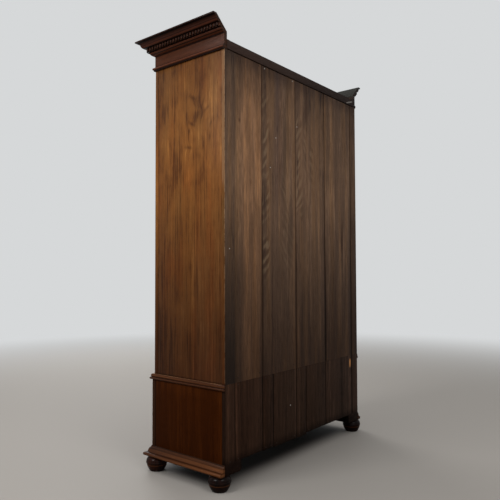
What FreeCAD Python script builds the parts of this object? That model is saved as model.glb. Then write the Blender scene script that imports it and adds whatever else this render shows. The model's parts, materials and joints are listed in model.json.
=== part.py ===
import FreeCAD, Part
import math
import os

from FreeCAD import Vector

# Wardrobe in three stacked sections: base chest on bun feet, upper carcass, cornice.
# +Z is up, the front faces -Y, the back faces +Y.
# The origin is on the floor, in the middle of the whole thing's outline.
# All sizes are in millimetres.

# Carcasses
body_width = 1254.0
upper_depth = 480.0
base_depth = 497.0
base_height = 484.0
upper_height = 1566.0
side_thickness = 20.0
board_thickness = 18.0
frame_thickness = 25.0
post_width = 60.0
post_groove = 2.0
post_groove_inset = 21.0

# Back boards, listed from the +X side of the back
back_thickness = 18.0
back_recess = 1.0
back_stile_width = 70.0
seam_gap = 1.2
upper_board_widths = (213.0, 297.0, 299.0, 305.0)
base_board_widths = (213.0, 91.0, 206.0, 93.0, 203.0, 308.0)
base_board_drops = (0.0, 3.0, 7.0, 9.0, 0.0, 0.0)

# Feet and plinth
plinth_lift = 71.0
plinth_height = 50.0
plinth_reach = 33.5
plinth_nose_height = 17.0
plinth_frame_width = 117.0
plinth_frame_chamfer = 12.0
foot_radius = 54.6
foot_bottom_radius = 36.0
foot_top_radius = 43.0
foot_belly_height = 43.0
foot_groove_depth = 1.6
front_foot_inset = 11.0
front_foot_setback = 24.0
rear_foot_inset = 8.0
rear_foot_setback = 40.0

# Waist moulding
waist_height = 27.0
waist_reach = 11.0
waist_drop = 1.0

# Cornice
frieze_height = 74.0
frieze_thickness = 19.5
frieze_proud = 2.0
bead_height = 18.0
bead_reach = 13.0
bead_drop = 2.0
crown_reach = 77.0
crown_flat = 22.0
crown_lip = 7.0
crown_lip_step = 6.0
cyma_height = 29.0
cyma_bow = 2.6
band_height = 18.0
band_reach = 34.0
bed_height = 22.0
bed_reach = 25.0
bed_toe = 4.0
crown_heel = 10.0
dentil_pitch = 19.5
dentil_width = 11.0
dentil_height = 14.0
dentil_depth = 7.0
rear_rail_height = 43.0
rear_rail_lift = 3.0
rear_rail_thickness = 20.0
rear_rail_proud = 3.0
corner_block = 40.0
corner_block_height = 60.0

# Front rails of the carcasses
upper_top_rail = 50.0
upper_bottom_rail = 30.0
base_top_rail = 26.0
divider_width = 30.0

# Doors
door_gap = 2.0
meeting_gap = 2.0
stop_gap = 0.5
door_stile = 85.0
door_top_rail = 95.0
door_middle_rail = 100.0
door_bottom_rail = 125.0
lower_panel_height = 330.0
panel_tongue = 8.0
panel_tongue_length = 9.0
panel_air = 0.3
panel_bevel = 34.0
panel_field_raise = 6.0
stop_batten_thickness = 20.0
stop_batten_lap = 13.0
stop_block_size = 12.0
stop_block_length = 40.0

# Hinges
hinge_height = 76.0
hinge_inset = 150.0
hinge_count = 3
hinge_radius = 4.0
hinge_pin_radius = 1.9
hinge_pin_air = 0.05
hinge_leaf = 1.6
hinge_leaf_air = 0.4
hinge_leaf_width = 20.0
hinge_face_air = 0.3
hinge_knuckles = 5
hinge_knuckle_air = 0.4
hinge_tip_height = 2.5
hinge_tip_radius = 3.5
hinge_tip_flat = 1.0
hinge_tip_bow = 1.0

# Lock and key, in the meeting stile of the right door
lock_rise = 700.0
lock_width = 40.0
lock_height = 60.0
lock_thickness = 12.0
lock_wall = 1.5
lock_air = 0.3
lock_bolt_width = 7.0
lock_bolt_height = 14.0
lock_bolt_length = 32.0
lock_bolt_rise = 13.0
lock_bolt_travel = 9.0
lock_pocket_air = 0.8
key_inset = 25.0
key_drop = 6.0
key_radius = 2.5
keyhole_air = 0.4
key_bit_reach = 10.0
key_bit_width = 2.5
key_stand_off = 24.0
key_bow_radius = 13.0
key_bow_hole = 8.0
key_bow_thickness = 4.0
key_end_air = 1.0
escutcheon_width = 26.0
escutcheon_height = 42.0
escutcheon_thickness = 1.2

# Slide bolts, on the back of the left door's meeting stile
bolt_side = 8.0
bolt_length = 100.0
bolt_travel = 22.0
bolt_air = 0.3
bolt_hole_air = 0.5
bolt_hole_spare = 8.0
bolt_plate_width = 28.0
bolt_plate_length = 92.0
bolt_plate_thickness = 3.0
bolt_keep_height = 8.0
bolt_keep_wall = 3.0
bolt_tip_air = 2.0
bolt_knob_radius = 5.0
bolt_knob_length = 12.0

# Turned knobs
knob_radius = 21.0
knob_neck_radius = 10.0
knob_foot_radius = 15.0
knob_projection = 36.0
knob_dowel_radius = 6.0
knob_dowel_air = 0.15
door_knob_rise = 95.0

# Hat shelf and hanging rail
shelf_drop = 330.0
shelf_setback = 60.0
bearer_width = 20.0
bearer_height = 30.0
rail_radius = 14.0
rail_drop = 62.0
socket_air = 0.3
socket_wall = 4.0
socket_length = 14.0
socket_floor = 3.0
socket_flange = 8.0
socket_end_air = 0.5

# Drawers
drawer_gap = 1.5
drawer_front_thickness = 22.0
drawer_side = 12.0
drawer_side_drop = 38.7
drawer_rear_air = 39.0
drawer_run_air = 0.3
drawer_bottom_thickness = 8.0
drawer_bottom_lift = 12.0
drawer_groove = 5.0
drawer_groove_air = 0.2
drawer_knob_share = 0.27
drawer_knob_height = 150.0
guide_height = 30.0
guide_air = 0.5
kicker_height = 30.0
kicker_air = 1.0
drawer_stop_height = 8.0
drawer_stop_length = 40.0
drawer_stop_air = 0.3

# Nails of the back, each stray one by its distance from the +X side and its height
nail_radius = 3.2
nail_head = 0.8
nail_edge = 24.0
nail_row_inset = 10.0
stray_nails = ((33.0, 1112.0), (354.0, 1538.0), (402.0, 1700.0), (597.0, 1797.0), (522.0, 298.0))

# Levels and planes worked out from the sizes above
half_width = body_width / 2
upper_base = base_height
upper_top = upper_base + upper_height
frieze_top = upper_top + frieze_height
crown_height = crown_lip + cyma_height + band_height + bed_height
plinth_top = plinth_lift + plinth_height
base_floor_top = plinth_top + board_thickness
base_top_underside = base_height - board_thickness
upper_floor_top = upper_base + upper_bottom_rail
upper_ceiling = upper_top - board_thickness
front_reach = max(upper_depth + crown_reach, base_depth + plinth_reach, base_depth + knob_projection)
rear_reach = max(foot_radius - rear_foot_setback, rear_rail_proud, 0.0)
back_y = (front_reach - rear_reach) / 2
back_inner_y = back_y - back_thickness
upper_front = back_y - upper_depth
base_front = back_y - base_depth
upper_inner_front = upper_front + frame_thickness
base_inner_front = base_front + frame_thickness
inner_half = half_width - side_thickness
opening_half = half_width - post_width

door_thickness = frame_thickness - stop_gap
door_back = upper_front + door_thickness
door_bottom = upper_floor_top + door_gap
door_top = upper_top - upper_top_rail - door_gap
door_inner_x = meeting_gap / 2
door_outer_x = opening_half - door_gap
hinge_x = opening_half - door_gap / 2
hinge_y = upper_front - hinge_radius - hinge_face_air
stile_centre_x = door_inner_x + door_stile / 2
panel_y = upper_front + door_thickness / 2

lock_z = door_bottom + lock_rise
lock_y = upper_front + door_thickness / 2
key_x = door_inner_x + key_inset
key_z = lock_z - key_drop
lock_bolt_z = lock_z + lock_bolt_rise
slide_bolt_y = door_back + bolt_plate_thickness + bolt_air + bolt_side / 2

drawer_opening_low = base_floor_top
drawer_opening_high = base_top_underside - base_top_rail
drawer_inner_x = divider_width / 2 + drawer_gap
drawer_outer_x = opening_half - drawer_gap
drawer_low = drawer_opening_low + drawer_run_air
drawer_side_top = drawer_opening_high - drawer_side_drop
drawer_back_y = back_inner_y - drawer_rear_air

# Reach of the cutting solids of the mitres, well past any moulding
mitre_reach = 2 * (plinth_frame_width + crown_reach)
# How far a cutting solid runs past the face that it cuts
overcut = 1.0
# How far a half round nose swells, as a share of its height
nose_swell = 0.38


def box(x_low, x_high, y_low, y_high, z_low, z_high):
    """Rectangular solid between two corners."""
    corner = Vector(x_low, y_low, z_low)
    return Part.makeBox(x_high - x_low, y_high - y_low, z_high - z_low, corner)


def bar(x_low, x_high, y, width, z, height):
    """Rectangular solid along X, with its section centred on a line."""
    return box(x_low, x_high, y - width / 2, y + width / 2, z - height / 2, z + height / 2)


def rod(x, y, z, radius, length, direction):
    """Round solid that starts at a point and runs along a direction."""
    return Part.makeCylinder(radius, length, Vector(x, y, z), direction)


def mirrored(shape):
    """The same piece on the other side of the middle plane."""
    return shape.mirror(Vector(0, 0, 0), Vector(1, 0, 0))


def outline_face(points, place):
    """Flat face from (u, v, bow) corners; bow pushes the edge to the next corner outwards."""
    edges = []
    for index, (u, v, bow) in enumerate(points):
        next_u, next_v, next_bow = points[(index + 1) % len(points)]
        start = place(u, v)
        end = place(next_u, next_v)
        if bow == 0:
            edges.append(Part.LineSegment(start, end).toShape())
            continue
        length = math.hypot(next_u - u, next_v - v)
        middle_u = (u + next_u) / 2 + bow * (next_v - v) / length
        middle_v = (v + next_v) / 2 - bow * (next_u - u) / length
        edges.append(Part.Arc(start, place(middle_u, middle_v), end).toShape())
    return Part.Face(Part.Wire(edges))


def flat_plate(corners, z_low, z_high):
    """Upright prism on a flat polygon of (x, y) corners."""
    points = [Vector(x, y, z_low) for x, y in corners]
    face = Part.Face(Part.makePolygon(points + points[:1]))
    return face.extrude(Vector(0, 0, z_high - z_low))


def mitred_runs(outline, front_y, z_base):
    """Front, left and right lengths of a moulding that meet in mitres at the front corners.

    The outline's u is measured outwards from the carcass, its v upwards from z_base.
    """
    reach = mitre_reach
    z_low = z_base - reach
    z_high = z_base + reach
    right_zone = flat_plate(
        [
            (half_width + reach, front_y - reach),
            (half_width + reach, back_y),
            (half_width - reach, back_y),
            (half_width - reach, front_y + reach),
        ],
        z_low,
        z_high,
    )
    front_zone = flat_plate(
        [
            (-half_width - reach, front_y - reach),
            (half_width + reach, front_y - reach),
            (half_width - reach, front_y + reach),
            (-half_width + reach, front_y + reach),
        ],
        z_low,
        z_high,
    )
    start_y = front_y - reach
    side_face = outline_face(outline, lambda u, v: Vector(half_width + u, start_y, z_base + v))
    right = side_face.extrude(Vector(0, back_y - start_y, 0)).common(right_zone)
    start_x = -half_width - reach
    front_face = outline_face(outline, lambda u, v: Vector(start_x, front_y - u, z_base + v))
    front = front_face.extrude(Vector(-2 * start_x, 0, 0)).common(front_zone)
    return front, mirrored(right), right


def turned(points, x, y, z, axis):
    """Turned solid from (radius, height, bow) points, standing on a point along an axis."""
    face = outline_face(points, lambda u, v: Vector(u, 0, v))
    solid = face.revolve(Vector(0, 0, 0), Vector(0, 0, 1), 360)
    solid.Placement = FreeCAD.Placement(Vector(x, y, z), FreeCAD.Rotation(Vector(0, 0, 1), axis))
    return solid


def save(name, solids):
    """Write one node: a single solid, or a group of separate solids."""
    shape = solids[0] if len(solids) == 1 else Part.makeCompound(solids)
    shape.exportStep("parts/" + name + ".step")


def bun_foot(x, y):
    """Turned bun foot with a groove above its belly and a flat top under the plinth."""
    groove_low = foot_belly_height - 9.0
    groove_high = groove_low + 1.5
    shoulder = plinth_lift - 4.0
    outline = [
        (0, 0, 0),
        (foot_bottom_radius, 0, 0),
        (foot_bottom_radius + 2.0, 3.0, 2.0),
        (foot_radius - 3.0, groove_low, 0),
        (foot_radius - 3.0 - foot_groove_depth, groove_low + 0.5, 0),
        (foot_radius - 3.0 - foot_groove_depth, groove_high, 0),
        (foot_radius - 2.0, groove_high + 0.5, 1.9),
        (foot_radius - 2.0, foot_belly_height + 7.0, 2.5),
        (foot_top_radius, shoulder, 0),
        (foot_top_radius, plinth_lift, 0),
        (0, plinth_lift, 0),
    ]
    return turned(outline, x, y, 0, Vector(0, 0, 1))


def bun_feet():
    """The four feet: the front pair stands further in than the rear pair."""
    feet = []
    for side in (-1, 1):
        front_x = side * (half_width - front_foot_inset)
        rear_x = side * (half_width - rear_foot_inset)
        feet.append(bun_foot(front_x, base_front + front_foot_setback))
        feet.append(bun_foot(rear_x, back_y - rear_foot_setback))
    return feet


def plinth_frame():
    """Flat frame under the base, open at the back, chamfered along its inner lower edge."""
    outline = [
        (-plinth_frame_width, plinth_frame_chamfer, 0),
        (-plinth_frame_width + plinth_frame_chamfer, 0, 0),
        (0, 0, 0),
        (0, plinth_height, 0),
        (-plinth_frame_width, plinth_height, 0),
    ]
    return mitred_runs(outline, base_front, plinth_lift)


def plinth_mouldings():
    """Plinth moulding: rounded nose, a flat step, a near upright face and a hollow at the top."""
    nose_bow = plinth_nose_height * nose_swell
    nose_edge = plinth_reach - nose_bow
    hollow_low = plinth_height - 13.0
    outline = [
        (0, 0, 0),
        (nose_edge, 0, nose_bow),
        (nose_edge, plinth_nose_height, 0),
        (plinth_reach * 0.5, plinth_nose_height + 2.5, 0),
        (plinth_reach * 0.34, hollow_low, -1.8),
        (2.0, plinth_height, 0),
        (0, plinth_height, 0),
    ]
    return mitred_runs(outline, base_front, plinth_lift)


def waist_mouldings():
    """Waist moulding: rounded lower nose, a quirk and a sloping upper face."""
    nose_height = waist_height * 0.42
    nose_bow = nose_height * nose_swell
    nose_edge = waist_reach - nose_bow
    outline = [
        (0, 0, 0),
        (nose_edge, 0, nose_bow),
        (nose_edge, nose_height, 0),
        (nose_edge - 2.5, nose_height + 1.5, 0),
        (nose_edge - 1.0, nose_height + 4.0, 1.2),
        (2.5, waist_height, 0),
        (0, waist_height, 0),
    ]
    return mitred_runs(outline, base_front, base_height - waist_drop - waist_height)


def frieze_boards():
    """Three plain boards that make the cornice frame."""
    outline = [
        (frieze_proud - frieze_thickness, 0, 0),
        (frieze_proud, 0, 0),
        (frieze_proud, frieze_height, 0),
        (frieze_proud - frieze_thickness, frieze_height, 0),
    ]
    return mitred_runs(outline, upper_front, upper_top)


def cornice_beads():
    """Bead planted along the foot of the frieze, lapping the joint below it."""
    fillet = bead_height * 0.28
    bow = (bead_height - fillet) * nose_swell
    edge = bead_reach - bow
    outline = [
        (frieze_proud, 0, 0),
        (edge - 0.5, 0, 0),
        (edge - 0.5, fillet, 0),
        (edge, fillet, bow),
        (edge, bead_height, 0),
        (frieze_proud, bead_height, 0),
    ]
    return mitred_runs(outline, upper_front, upper_top - bead_drop)


def crown_mouldings():
    """Crown: thin lip, cyma, and the band that carries the dentils; its back slopes inwards."""
    band_top = bed_height + band_height
    cyma_top = band_top + cyma_height
    cyma_low_reach = band_reach + dentil_depth + 1.0
    cyma_high_reach = crown_reach - crown_lip_step
    middle_reach = (cyma_low_reach + cyma_high_reach) / 2
    middle_height = (band_top + cyma_top) / 2
    inner = frieze_proud - frieze_thickness
    outline = [
        (inner, 0, 0),
        (frieze_proud, 0, 0),
        (frieze_proud, bed_height, 0),
        (band_reach, bed_height, 0),
        (band_reach, band_top, 0),
        (cyma_low_reach, band_top, cyma_bow),
        (middle_reach, middle_height, -cyma_bow),
        (cyma_high_reach, cyma_top, 0),
        (crown_reach, cyma_top, 0),
        (crown_reach, crown_height, 0),
        (crown_reach - crown_flat, crown_height, 0),
        (inner, crown_heel, 0),
    ]
    return mitred_runs(outline, upper_front, frieze_top)


def bed_mouldings():
    """Small ovolo moulding in the angle between the frieze and the dentil band."""
    outline = [
        (frieze_proud, 0, 0),
        (bed_toe, 0, 0),
        (bed_toe, 3.0, 3.0),
        (bed_reach - 3.0, bed_height - 7.0, 0),
        (bed_reach, bed_height - 6.0, 0),
        (bed_reach, bed_height, 0),
        (frieze_proud, bed_height, 0),
    ]
    return mitred_runs(outline, upper_front, frieze_top)


def dentil_places(length):
    """Centres of evenly spaced dentils along a length, as distances from its middle."""
    count = int(length // dentil_pitch)
    return [(index - (count - 1) / 2) * dentil_pitch for index in range(count)]


def dentils():
    """Row of small upright blocks on the crown's band, on the front and both sides."""
    z_low = frieze_top + bed_height + (band_height - dentil_height) / 2
    z_high = z_low + dentil_height
    blocks = []
    front_low = upper_front - band_reach - dentil_depth
    front_high = upper_front - band_reach
    for x in dentil_places(body_width + 2 * band_reach):
        blocks.append(box(x - dentil_width / 2, x + dentil_width / 2, front_low, front_high, z_low, z_high))
    side_low = half_width + band_reach
    side_high = side_low + dentil_depth
    side_length = upper_depth + band_reach
    side_middle = back_y - side_length / 2
    for place in dentil_places(side_length):
        y = side_middle + place
        block = box(side_low, side_high, y - dentil_width / 2, y + dentil_width / 2, z_low, z_high)
        blocks.append(block)
        blocks.append(mirrored(block))
    return blocks


def cornice_rear_rail():
    """Plain rail that ties the two side friezes at the back, a little proud of the boards below."""
    x = half_width + frieze_proud - frieze_thickness
    y_high = back_y + rear_rail_proud
    z_low = upper_top + rear_rail_lift
    return box(-x, x, y_high - rear_rail_thickness, y_high, z_low, z_low + rear_rail_height)


def cornice_corner_blocks():
    """Glue blocks in the four inner corners of the cornice frame."""
    outer_x = half_width + frieze_proud - frieze_thickness
    front_y = upper_front - frieze_proud + frieze_thickness
    rear_y = back_y + rear_rail_proud - rear_rail_thickness
    blocks = []
    for y_low in (front_y, rear_y - corner_block):
        z_high = upper_top + corner_block_height
        block = box(outer_x - corner_block, outer_x, y_low, y_low + corner_block, upper_top, z_high)
        blocks.append(block)
        blocks.append(mirrored(block))
    return blocks


def side_board(front_inner_y, z_low, z_high):
    """Right side board of a carcass, between its front post and its back stile."""
    return box(inner_half, half_width, front_inner_y, back_inner_y, z_low, z_high)


def front_post(front_y, z_low, z_high):
    """Right front post, with a groove that sets off a bead on its side face."""
    post = box(opening_half, half_width, front_y, front_y + frame_thickness, z_low, z_high)
    groove_y = front_y + post_groove_inset
    groove_x = half_width - post_groove
    z_start = z_low - overcut
    z_end = z_high + overcut
    groove = box(groove_x, half_width + overcut, groove_y, groove_y + post_groove, z_start, z_end)
    return post.cut(groove)


def hinge_levels():
    """Heights of the hinges' lower ends."""
    low = door_bottom + hinge_inset
    high = door_top - hinge_inset - hinge_height
    step = (high - low) / (hinge_count - 1)
    return [low + index * step for index in range(hinge_count)]


def hinge_recess(x_low, x_high):
    """Shallow cuts that let the hinge leaves into a door edge or a post."""
    y_high = upper_front + hinge_leaf_width
    y_low = upper_front - overcut
    cuts = [box(x_low, x_high, y_low, y_high, z, z + hinge_height) for z in hinge_levels()]
    return Part.makeCompound(cuts)


def upper_front_frame():
    """Front posts and rails of the upper carcass; the posts are cut for the hinge leaves."""
    leaf_outer = hinge_x + hinge_leaf_air / 2 + hinge_leaf
    post = front_post(upper_front, upper_base, upper_top)
    post = post.cut(hinge_recess(opening_half - overcut, leaf_outer))
    x = opening_half
    top_rail = box(-x, x, upper_front, upper_inner_front, upper_top - upper_top_rail, upper_top)
    bottom_rail = box(-x, x, upper_front, upper_inner_front, upper_base, upper_floor_top)
    return [post, mirrored(post), top_rail, bottom_rail]


def base_front_frame():
    """Front posts, rails and the upright between the drawers of the base."""
    post = front_post(base_front, plinth_top, base_top_underside)
    y_high = base_inner_front
    top_rail = box(-opening_half, opening_half, base_front, y_high, drawer_opening_high, base_top_underside)
    bottom_rail = box(-opening_half, opening_half, base_front, y_high, plinth_top, base_floor_top)
    half = divider_width / 2
    upright = box(-half, half, base_front, y_high, base_floor_top, drawer_opening_high)
    return [post, mirrored(post), top_rail, bottom_rail, upright]


def back_stile(z_low, z_high):
    """Right back stile of a carcass."""
    return box(half_width - back_stile_width, half_width, back_inner_y, back_y, z_low, z_high)


def back_boards(widths, drops, z_low, z_high):
    """Upright back boards that fill the space between the stiles, from the +X side."""
    inner = half_width - back_stile_width
    scale = 2 * inner / sum(widths)
    x_high = inner
    boards = []
    for width, drop in zip(widths, drops):
        x_low = x_high - width * scale
        x_left = x_low + seam_gap / 2
        x_right = x_high - seam_gap / 2
        boards.append(box(x_left, x_right, back_inner_y, back_y - back_recess, z_low - drop, z_high))
        x_high = x_low
    return boards


def nail_head_at(x, z, face_y):
    """Round nail head lying on the back."""
    return rod(x, face_y, z, nail_radius, nail_head, Vector(0, 1, 0))


def back_nails():
    """Nail heads along the ends of the back boards, in the stiles, and the odd ones between."""
    board_face = back_y - back_recess
    inner = half_width - back_stile_width
    rows = (
        (upper_board_widths, (upper_top - nail_row_inset, upper_floor_top - board_thickness / 2)),
        (base_board_widths, (base_height - nail_row_inset, base_floor_top - board_thickness / 2)),
    )
    heads = []
    for widths, levels in rows:
        scale = 2 * inner / sum(widths)
        for z in levels:
            x_high = inner
            for width in widths:
                x_low = x_high - width * scale
                heads.append(nail_head_at(x_high - nail_edge, z, board_face))
                heads.append(nail_head_at(x_low + nail_edge, z, board_face))
                x_high = x_low
            stile_x = half_width - back_stile_width / 2
            heads.append(nail_head_at(stile_x, z, back_y))
            heads.append(nail_head_at(-stile_x, z, back_y))
    for inset, z in stray_nails:
        face_y = back_y if inset < back_stile_width else board_face
        heads.append(nail_head_at(half_width - inset, z, face_y))
    return heads


def fielded_panel(x_low, x_high, z_low, z_high):
    """Door panel: a thin tongue all round, held in the frame's groove, and a raised front field."""
    tongue = panel_tongue_length
    y_low = panel_y - panel_tongue / 2
    y_high = panel_y + panel_tongue / 2
    slab = box(x_low - tongue, x_high + tongue, y_low, y_high, z_low - tongue, z_high + tongue)
    bevel = panel_bevel
    foot = [(x_low, z_low), (x_high, z_low), (x_high, z_high), (x_low, z_high)]
    field = [
        (x_low + bevel, z_low + bevel),
        (x_high - bevel, z_low + bevel),
        (x_high - bevel, z_high - bevel),
        (x_low + bevel, z_high - bevel),
    ]
    foot_points = [Vector(x, y_low, z) for x, z in foot]
    field_points = [Vector(x, y_low - panel_field_raise, z) for x, z in field]
    foot_wire = Part.makePolygon(foot_points + foot_points[:1])
    field_wire = Part.makePolygon(field_points + field_points[:1])
    raised = Part.makeLoft([foot_wire, field_wire], True, True)
    return slab.fuse(raised).removeSplitter()


def panel_openings():
    """The two openings of the right door, as x and z limits, lower one first."""
    x_low = door_inner_x + door_stile
    x_high = door_outer_x - door_stile
    z_first = door_bottom + door_bottom_rail
    z_second = z_first + lower_panel_height
    z_third = z_second + door_middle_rail
    z_fourth = door_top - door_top_rail
    return [(x_low, x_high, z_first, z_second), (x_low, x_high, z_third, z_fourth)]


def panel_grooves():
    """Grooves that take the panels' tongues, as one cutting solid."""
    depth = panel_tongue_length + panel_air
    half = panel_tongue / 2 + panel_air
    y_low = panel_y - half
    y_high = panel_y + half
    cuts = []
    for x_low, x_high, z_low, z_high in panel_openings():
        cuts.append(box(x_low - depth, x_high + depth, y_low, y_high, z_low - depth, z_high + depth))
    return Part.makeCompound(cuts)


def door_frame():
    """Stiles and rails of the right door, grooved for its panels and cut for the hinge leaves."""
    lower, upper = panel_openings()
    x_low, x_high = lower[0], lower[1]
    leaf_inner = hinge_x - hinge_leaf_air / 2 - hinge_leaf
    front, back = upper_front, door_back
    meeting_stile = box(door_inner_x, x_low, front, back, door_bottom, door_top)
    hinge_stile = box(x_high, door_outer_x, front, back, door_bottom, door_top)
    hinge_stile = hinge_stile.cut(hinge_recess(leaf_inner, door_outer_x + overcut))
    bottom_rail = box(x_low, x_high, front, back, door_bottom, lower[2])
    middle_rail = box(x_low, x_high, front, back, lower[3], upper[2])
    top_rail = box(x_low, x_high, front, back, upper[3], door_top)
    grooves = panel_grooves()
    pieces = (meeting_stile, hinge_stile, bottom_rail, middle_rail, top_rail)
    return [piece.cut(grooves) for piece in pieces]


def keyhole(y_low, y_high, air):
    """Cutting solid of a keyhole: a round hole with a slot below it."""
    radius = key_radius + air
    half = key_bit_width / 2 + air
    hole = rod(key_x, y_low, key_z, radius, y_high - y_low, Vector(0, 1, 0))
    slot = box(key_x - half, key_x + half, y_low, y_high, key_z - key_bit_reach - air, key_z)
    return hole.fuse(slot)


def lock_case():
    """Hollow case of the mortise lock, with a slot for the bolt and a keyhole."""
    x_low = door_inner_x
    x_high = x_low + lock_width
    wall = lock_wall
    hollow_width = lock_thickness - 2 * wall
    hollow_height = lock_height - 2 * wall
    slot_width = lock_bolt_width + 2 * lock_air
    slot_height = lock_bolt_height + 2 * lock_air
    case = bar(x_low, x_high, lock_y, lock_thickness, lock_z, lock_height)
    hollow = bar(x_low + wall, x_high - wall, lock_y, hollow_width, lock_z, hollow_height)
    slot = bar(x_low - overcut, x_low + wall + overcut, lock_y, slot_width, lock_bolt_z, slot_height)
    case = case.cut(hollow)
    case = case.cut(slot)
    return case.cut(keyhole(lock_y - lock_thickness, lock_y, keyhole_air))


def lock_bolt():
    """Square bolt of the lock, drawn back flush with the edge of the door."""
    x_low = door_inner_x + lock_air
    return bar(x_low, x_low + lock_bolt_length, lock_y, lock_bolt_width, lock_bolt_z, lock_bolt_height)


def key():
    """Key standing in the lock: round shank, bit below it and a ring bow."""
    inner_end = lock_y + lock_thickness / 2 - lock_wall - key_end_air
    bow_y = upper_front - key_stand_off - key_bow_radius
    shank_start = bow_y + (key_bow_radius + key_bow_hole) / 2
    shank = rod(key_x, shank_start, key_z, key_radius, inner_end - shank_start, Vector(0, 1, 0))
    bit_y_low = lock_y - lock_thickness / 2 + lock_wall + key_end_air
    half = key_bit_width / 2
    bit = box(key_x - half, key_x + half, bit_y_low, inner_end, key_z - key_bit_reach, key_z)
    ring_x = key_x - key_bow_thickness / 2
    ring = rod(ring_x, bow_y, key_z, key_bow_radius, key_bow_thickness, Vector(1, 0, 0))
    hole_length = key_bow_thickness + 2 * overcut
    hole = rod(ring_x - overcut, bow_y, key_z, key_bow_hole, hole_length, Vector(1, 0, 0))
    return ring.cut(hole).fuse([shank, bit]).removeSplitter()


def escutcheon():
    """Thin oval plate round the keyhole on the face of the door."""
    curve = Part.Ellipse(Vector(0, 0, 0), escutcheon_height / 2, escutcheon_width / 2)
    face = Part.Face(Part.Wire([curve.toShape()]))
    plate = face.extrude(Vector(0, 0, escutcheon_thickness))
    turn = FreeCAD.Rotation(Vector(0, 0, 1), Vector(-1, 0, 0), Vector(0, -1, 0), "ZXY")
    plate.Placement = FreeCAD.Placement(Vector(key_x, upper_front, key_z - key_bit_reach / 4), turn)
    y_low = upper_front - escutcheon_thickness - overcut
    return plate.cut(keyhole(y_low, upper_front + overcut, keyhole_air))


def right_door_frame():
    """Right door's frame with the mortise for the lock, the keyhole and the knob's hole."""
    pieces = door_frame()
    mortise_end = door_inner_x + lock_width
    mortise = bar(door_inner_x - overcut, mortise_end, lock_y, lock_thickness, lock_z, lock_height)
    hole_radius = knob_dowel_radius + knob_dowel_air
    hole_length = door_thickness + 2 * overcut
    y_low = upper_front - overcut
    knob_z = lock_z + door_knob_rise
    knob_hole = rod(stile_centre_x, y_low, knob_z, hole_radius, hole_length, Vector(0, 1, 0))
    stile = pieces[0].cut(mortise)
    stile = stile.cut(keyhole(y_low, lock_y, keyhole_air))
    pieces[0] = stile.cut(knob_hole)
    return pieces


def left_door_frame():
    """Left door's frame with the pocket that takes the lock's bolt."""
    pieces = [mirrored(piece) for piece in door_frame()]
    pocket_end = -door_inner_x - lock_bolt_travel - lock_pocket_air
    pocket_width = lock_bolt_width + 2 * lock_pocket_air
    pocket_height = lock_bolt_height + 2 * lock_pocket_air
    pocket = bar(pocket_end, 0, lock_y, pocket_width, lock_bolt_z, pocket_height)
    pieces[0] = pieces[0].cut(pocket)
    return pieces


def knob(x, z, face_y, panel_thickness):
    """Turned knob with a foot against the face and a dowel through it."""
    neck = knob_projection * 0.42
    outline = [
        (0, -panel_thickness, 0),
        (knob_dowel_radius, -panel_thickness, 0),
        (knob_dowel_radius, 0, 0),
        (knob_foot_radius, 0, 0),
        (knob_foot_radius, 4.0, 0),
        (knob_neck_radius, 7.0, -1.0),
        (knob_neck_radius, neck, -2.0),
        (knob_radius, knob_projection * 0.66, 2.0),
        (knob_radius - 4.0, knob_projection - 5.0, 1.0),
        (knob_neck_radius, knob_projection, 0),
        (0, knob_projection, 0),
    ]
    return turned(outline, x, face_y, z, Vector(0, -1, 0))


def hinge_knuckle(z_low, z_high, hole_radius):
    """One rolled knuckle of a right-hand hinge."""
    barrel = rod(hinge_x, hinge_y, z_low, hinge_radius, z_high - z_low, Vector(0, 0, 1))
    hole_length = z_high - z_low + 2 * overcut
    hole = rod(hinge_x, hinge_y, z_low - overcut, hole_radius, hole_length, Vector(0, 0, 1))
    return barrel, hole


def hinge_leaf_solid(z_start, side, numbers):
    """One leaf of a right-hand hinge; side is +1 for the post and -1 for the door."""
    inner = hinge_x + side * hinge_leaf_air / 2
    outer = inner + side * hinge_leaf
    x_low, x_high = min(inner, outer), max(inner, outer)
    leaf = box(x_low, x_high, upper_front, upper_front + hinge_leaf_width, z_start, z_start + hinge_height)
    pitch = hinge_height / hinge_knuckles
    holes = []
    for number in numbers:
        z_low = z_start + number * pitch + hinge_knuckle_air / 2
        z_high = z_start + (number + 1) * pitch - hinge_knuckle_air / 2
        barrel, hole = hinge_knuckle(z_low, z_high, hinge_pin_radius + hinge_pin_air)
        tab = box(x_low, x_high, hinge_y, upper_front, z_low, z_high)
        leaf = leaf.fuse([barrel, tab])
        holes.append(hole)
    return leaf.cut(Part.makeCompound(holes)).removeSplitter()


def hinge_leaves(side):
    """Leaves of one door's hinges, on the post or on the door."""
    first = 0 if side > 0 else 1
    numbers = range(first, hinge_knuckles, 2)
    return [hinge_leaf_solid(z, side, numbers) for z in hinge_levels()]


def hinge_pins():
    """Pins of one door's hinges, each with a small rounded tip at both ends."""
    pins = []
    for z in hinge_levels():
        pin = rod(hinge_x, hinge_y, z, hinge_pin_radius, hinge_height, Vector(0, 0, 1))
        tip_outline = [
            (0, 0, 0),
            (hinge_tip_radius, 0, hinge_tip_bow),
            (hinge_tip_flat, hinge_tip_height, 0),
            (0, hinge_tip_height, 0),
        ]
        top = turned(tip_outline, hinge_x, hinge_y, z + hinge_height, Vector(0, 0, 1))
        bottom = turned(tip_outline, hinge_x, hinge_y, z, Vector(0, 0, -1))
        pins.append(pin.fuse([top, bottom]).removeSplitter())
    return pins


def bolt_hole(z_low, z_high):
    """Square hole that takes a slide bolt of the left door."""
    half = bolt_side / 2 + bolt_hole_air
    x = -stile_centre_x
    return box(x - half, x + half, slide_bolt_y - half, slide_bolt_y + half, z_low, z_high)


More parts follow.
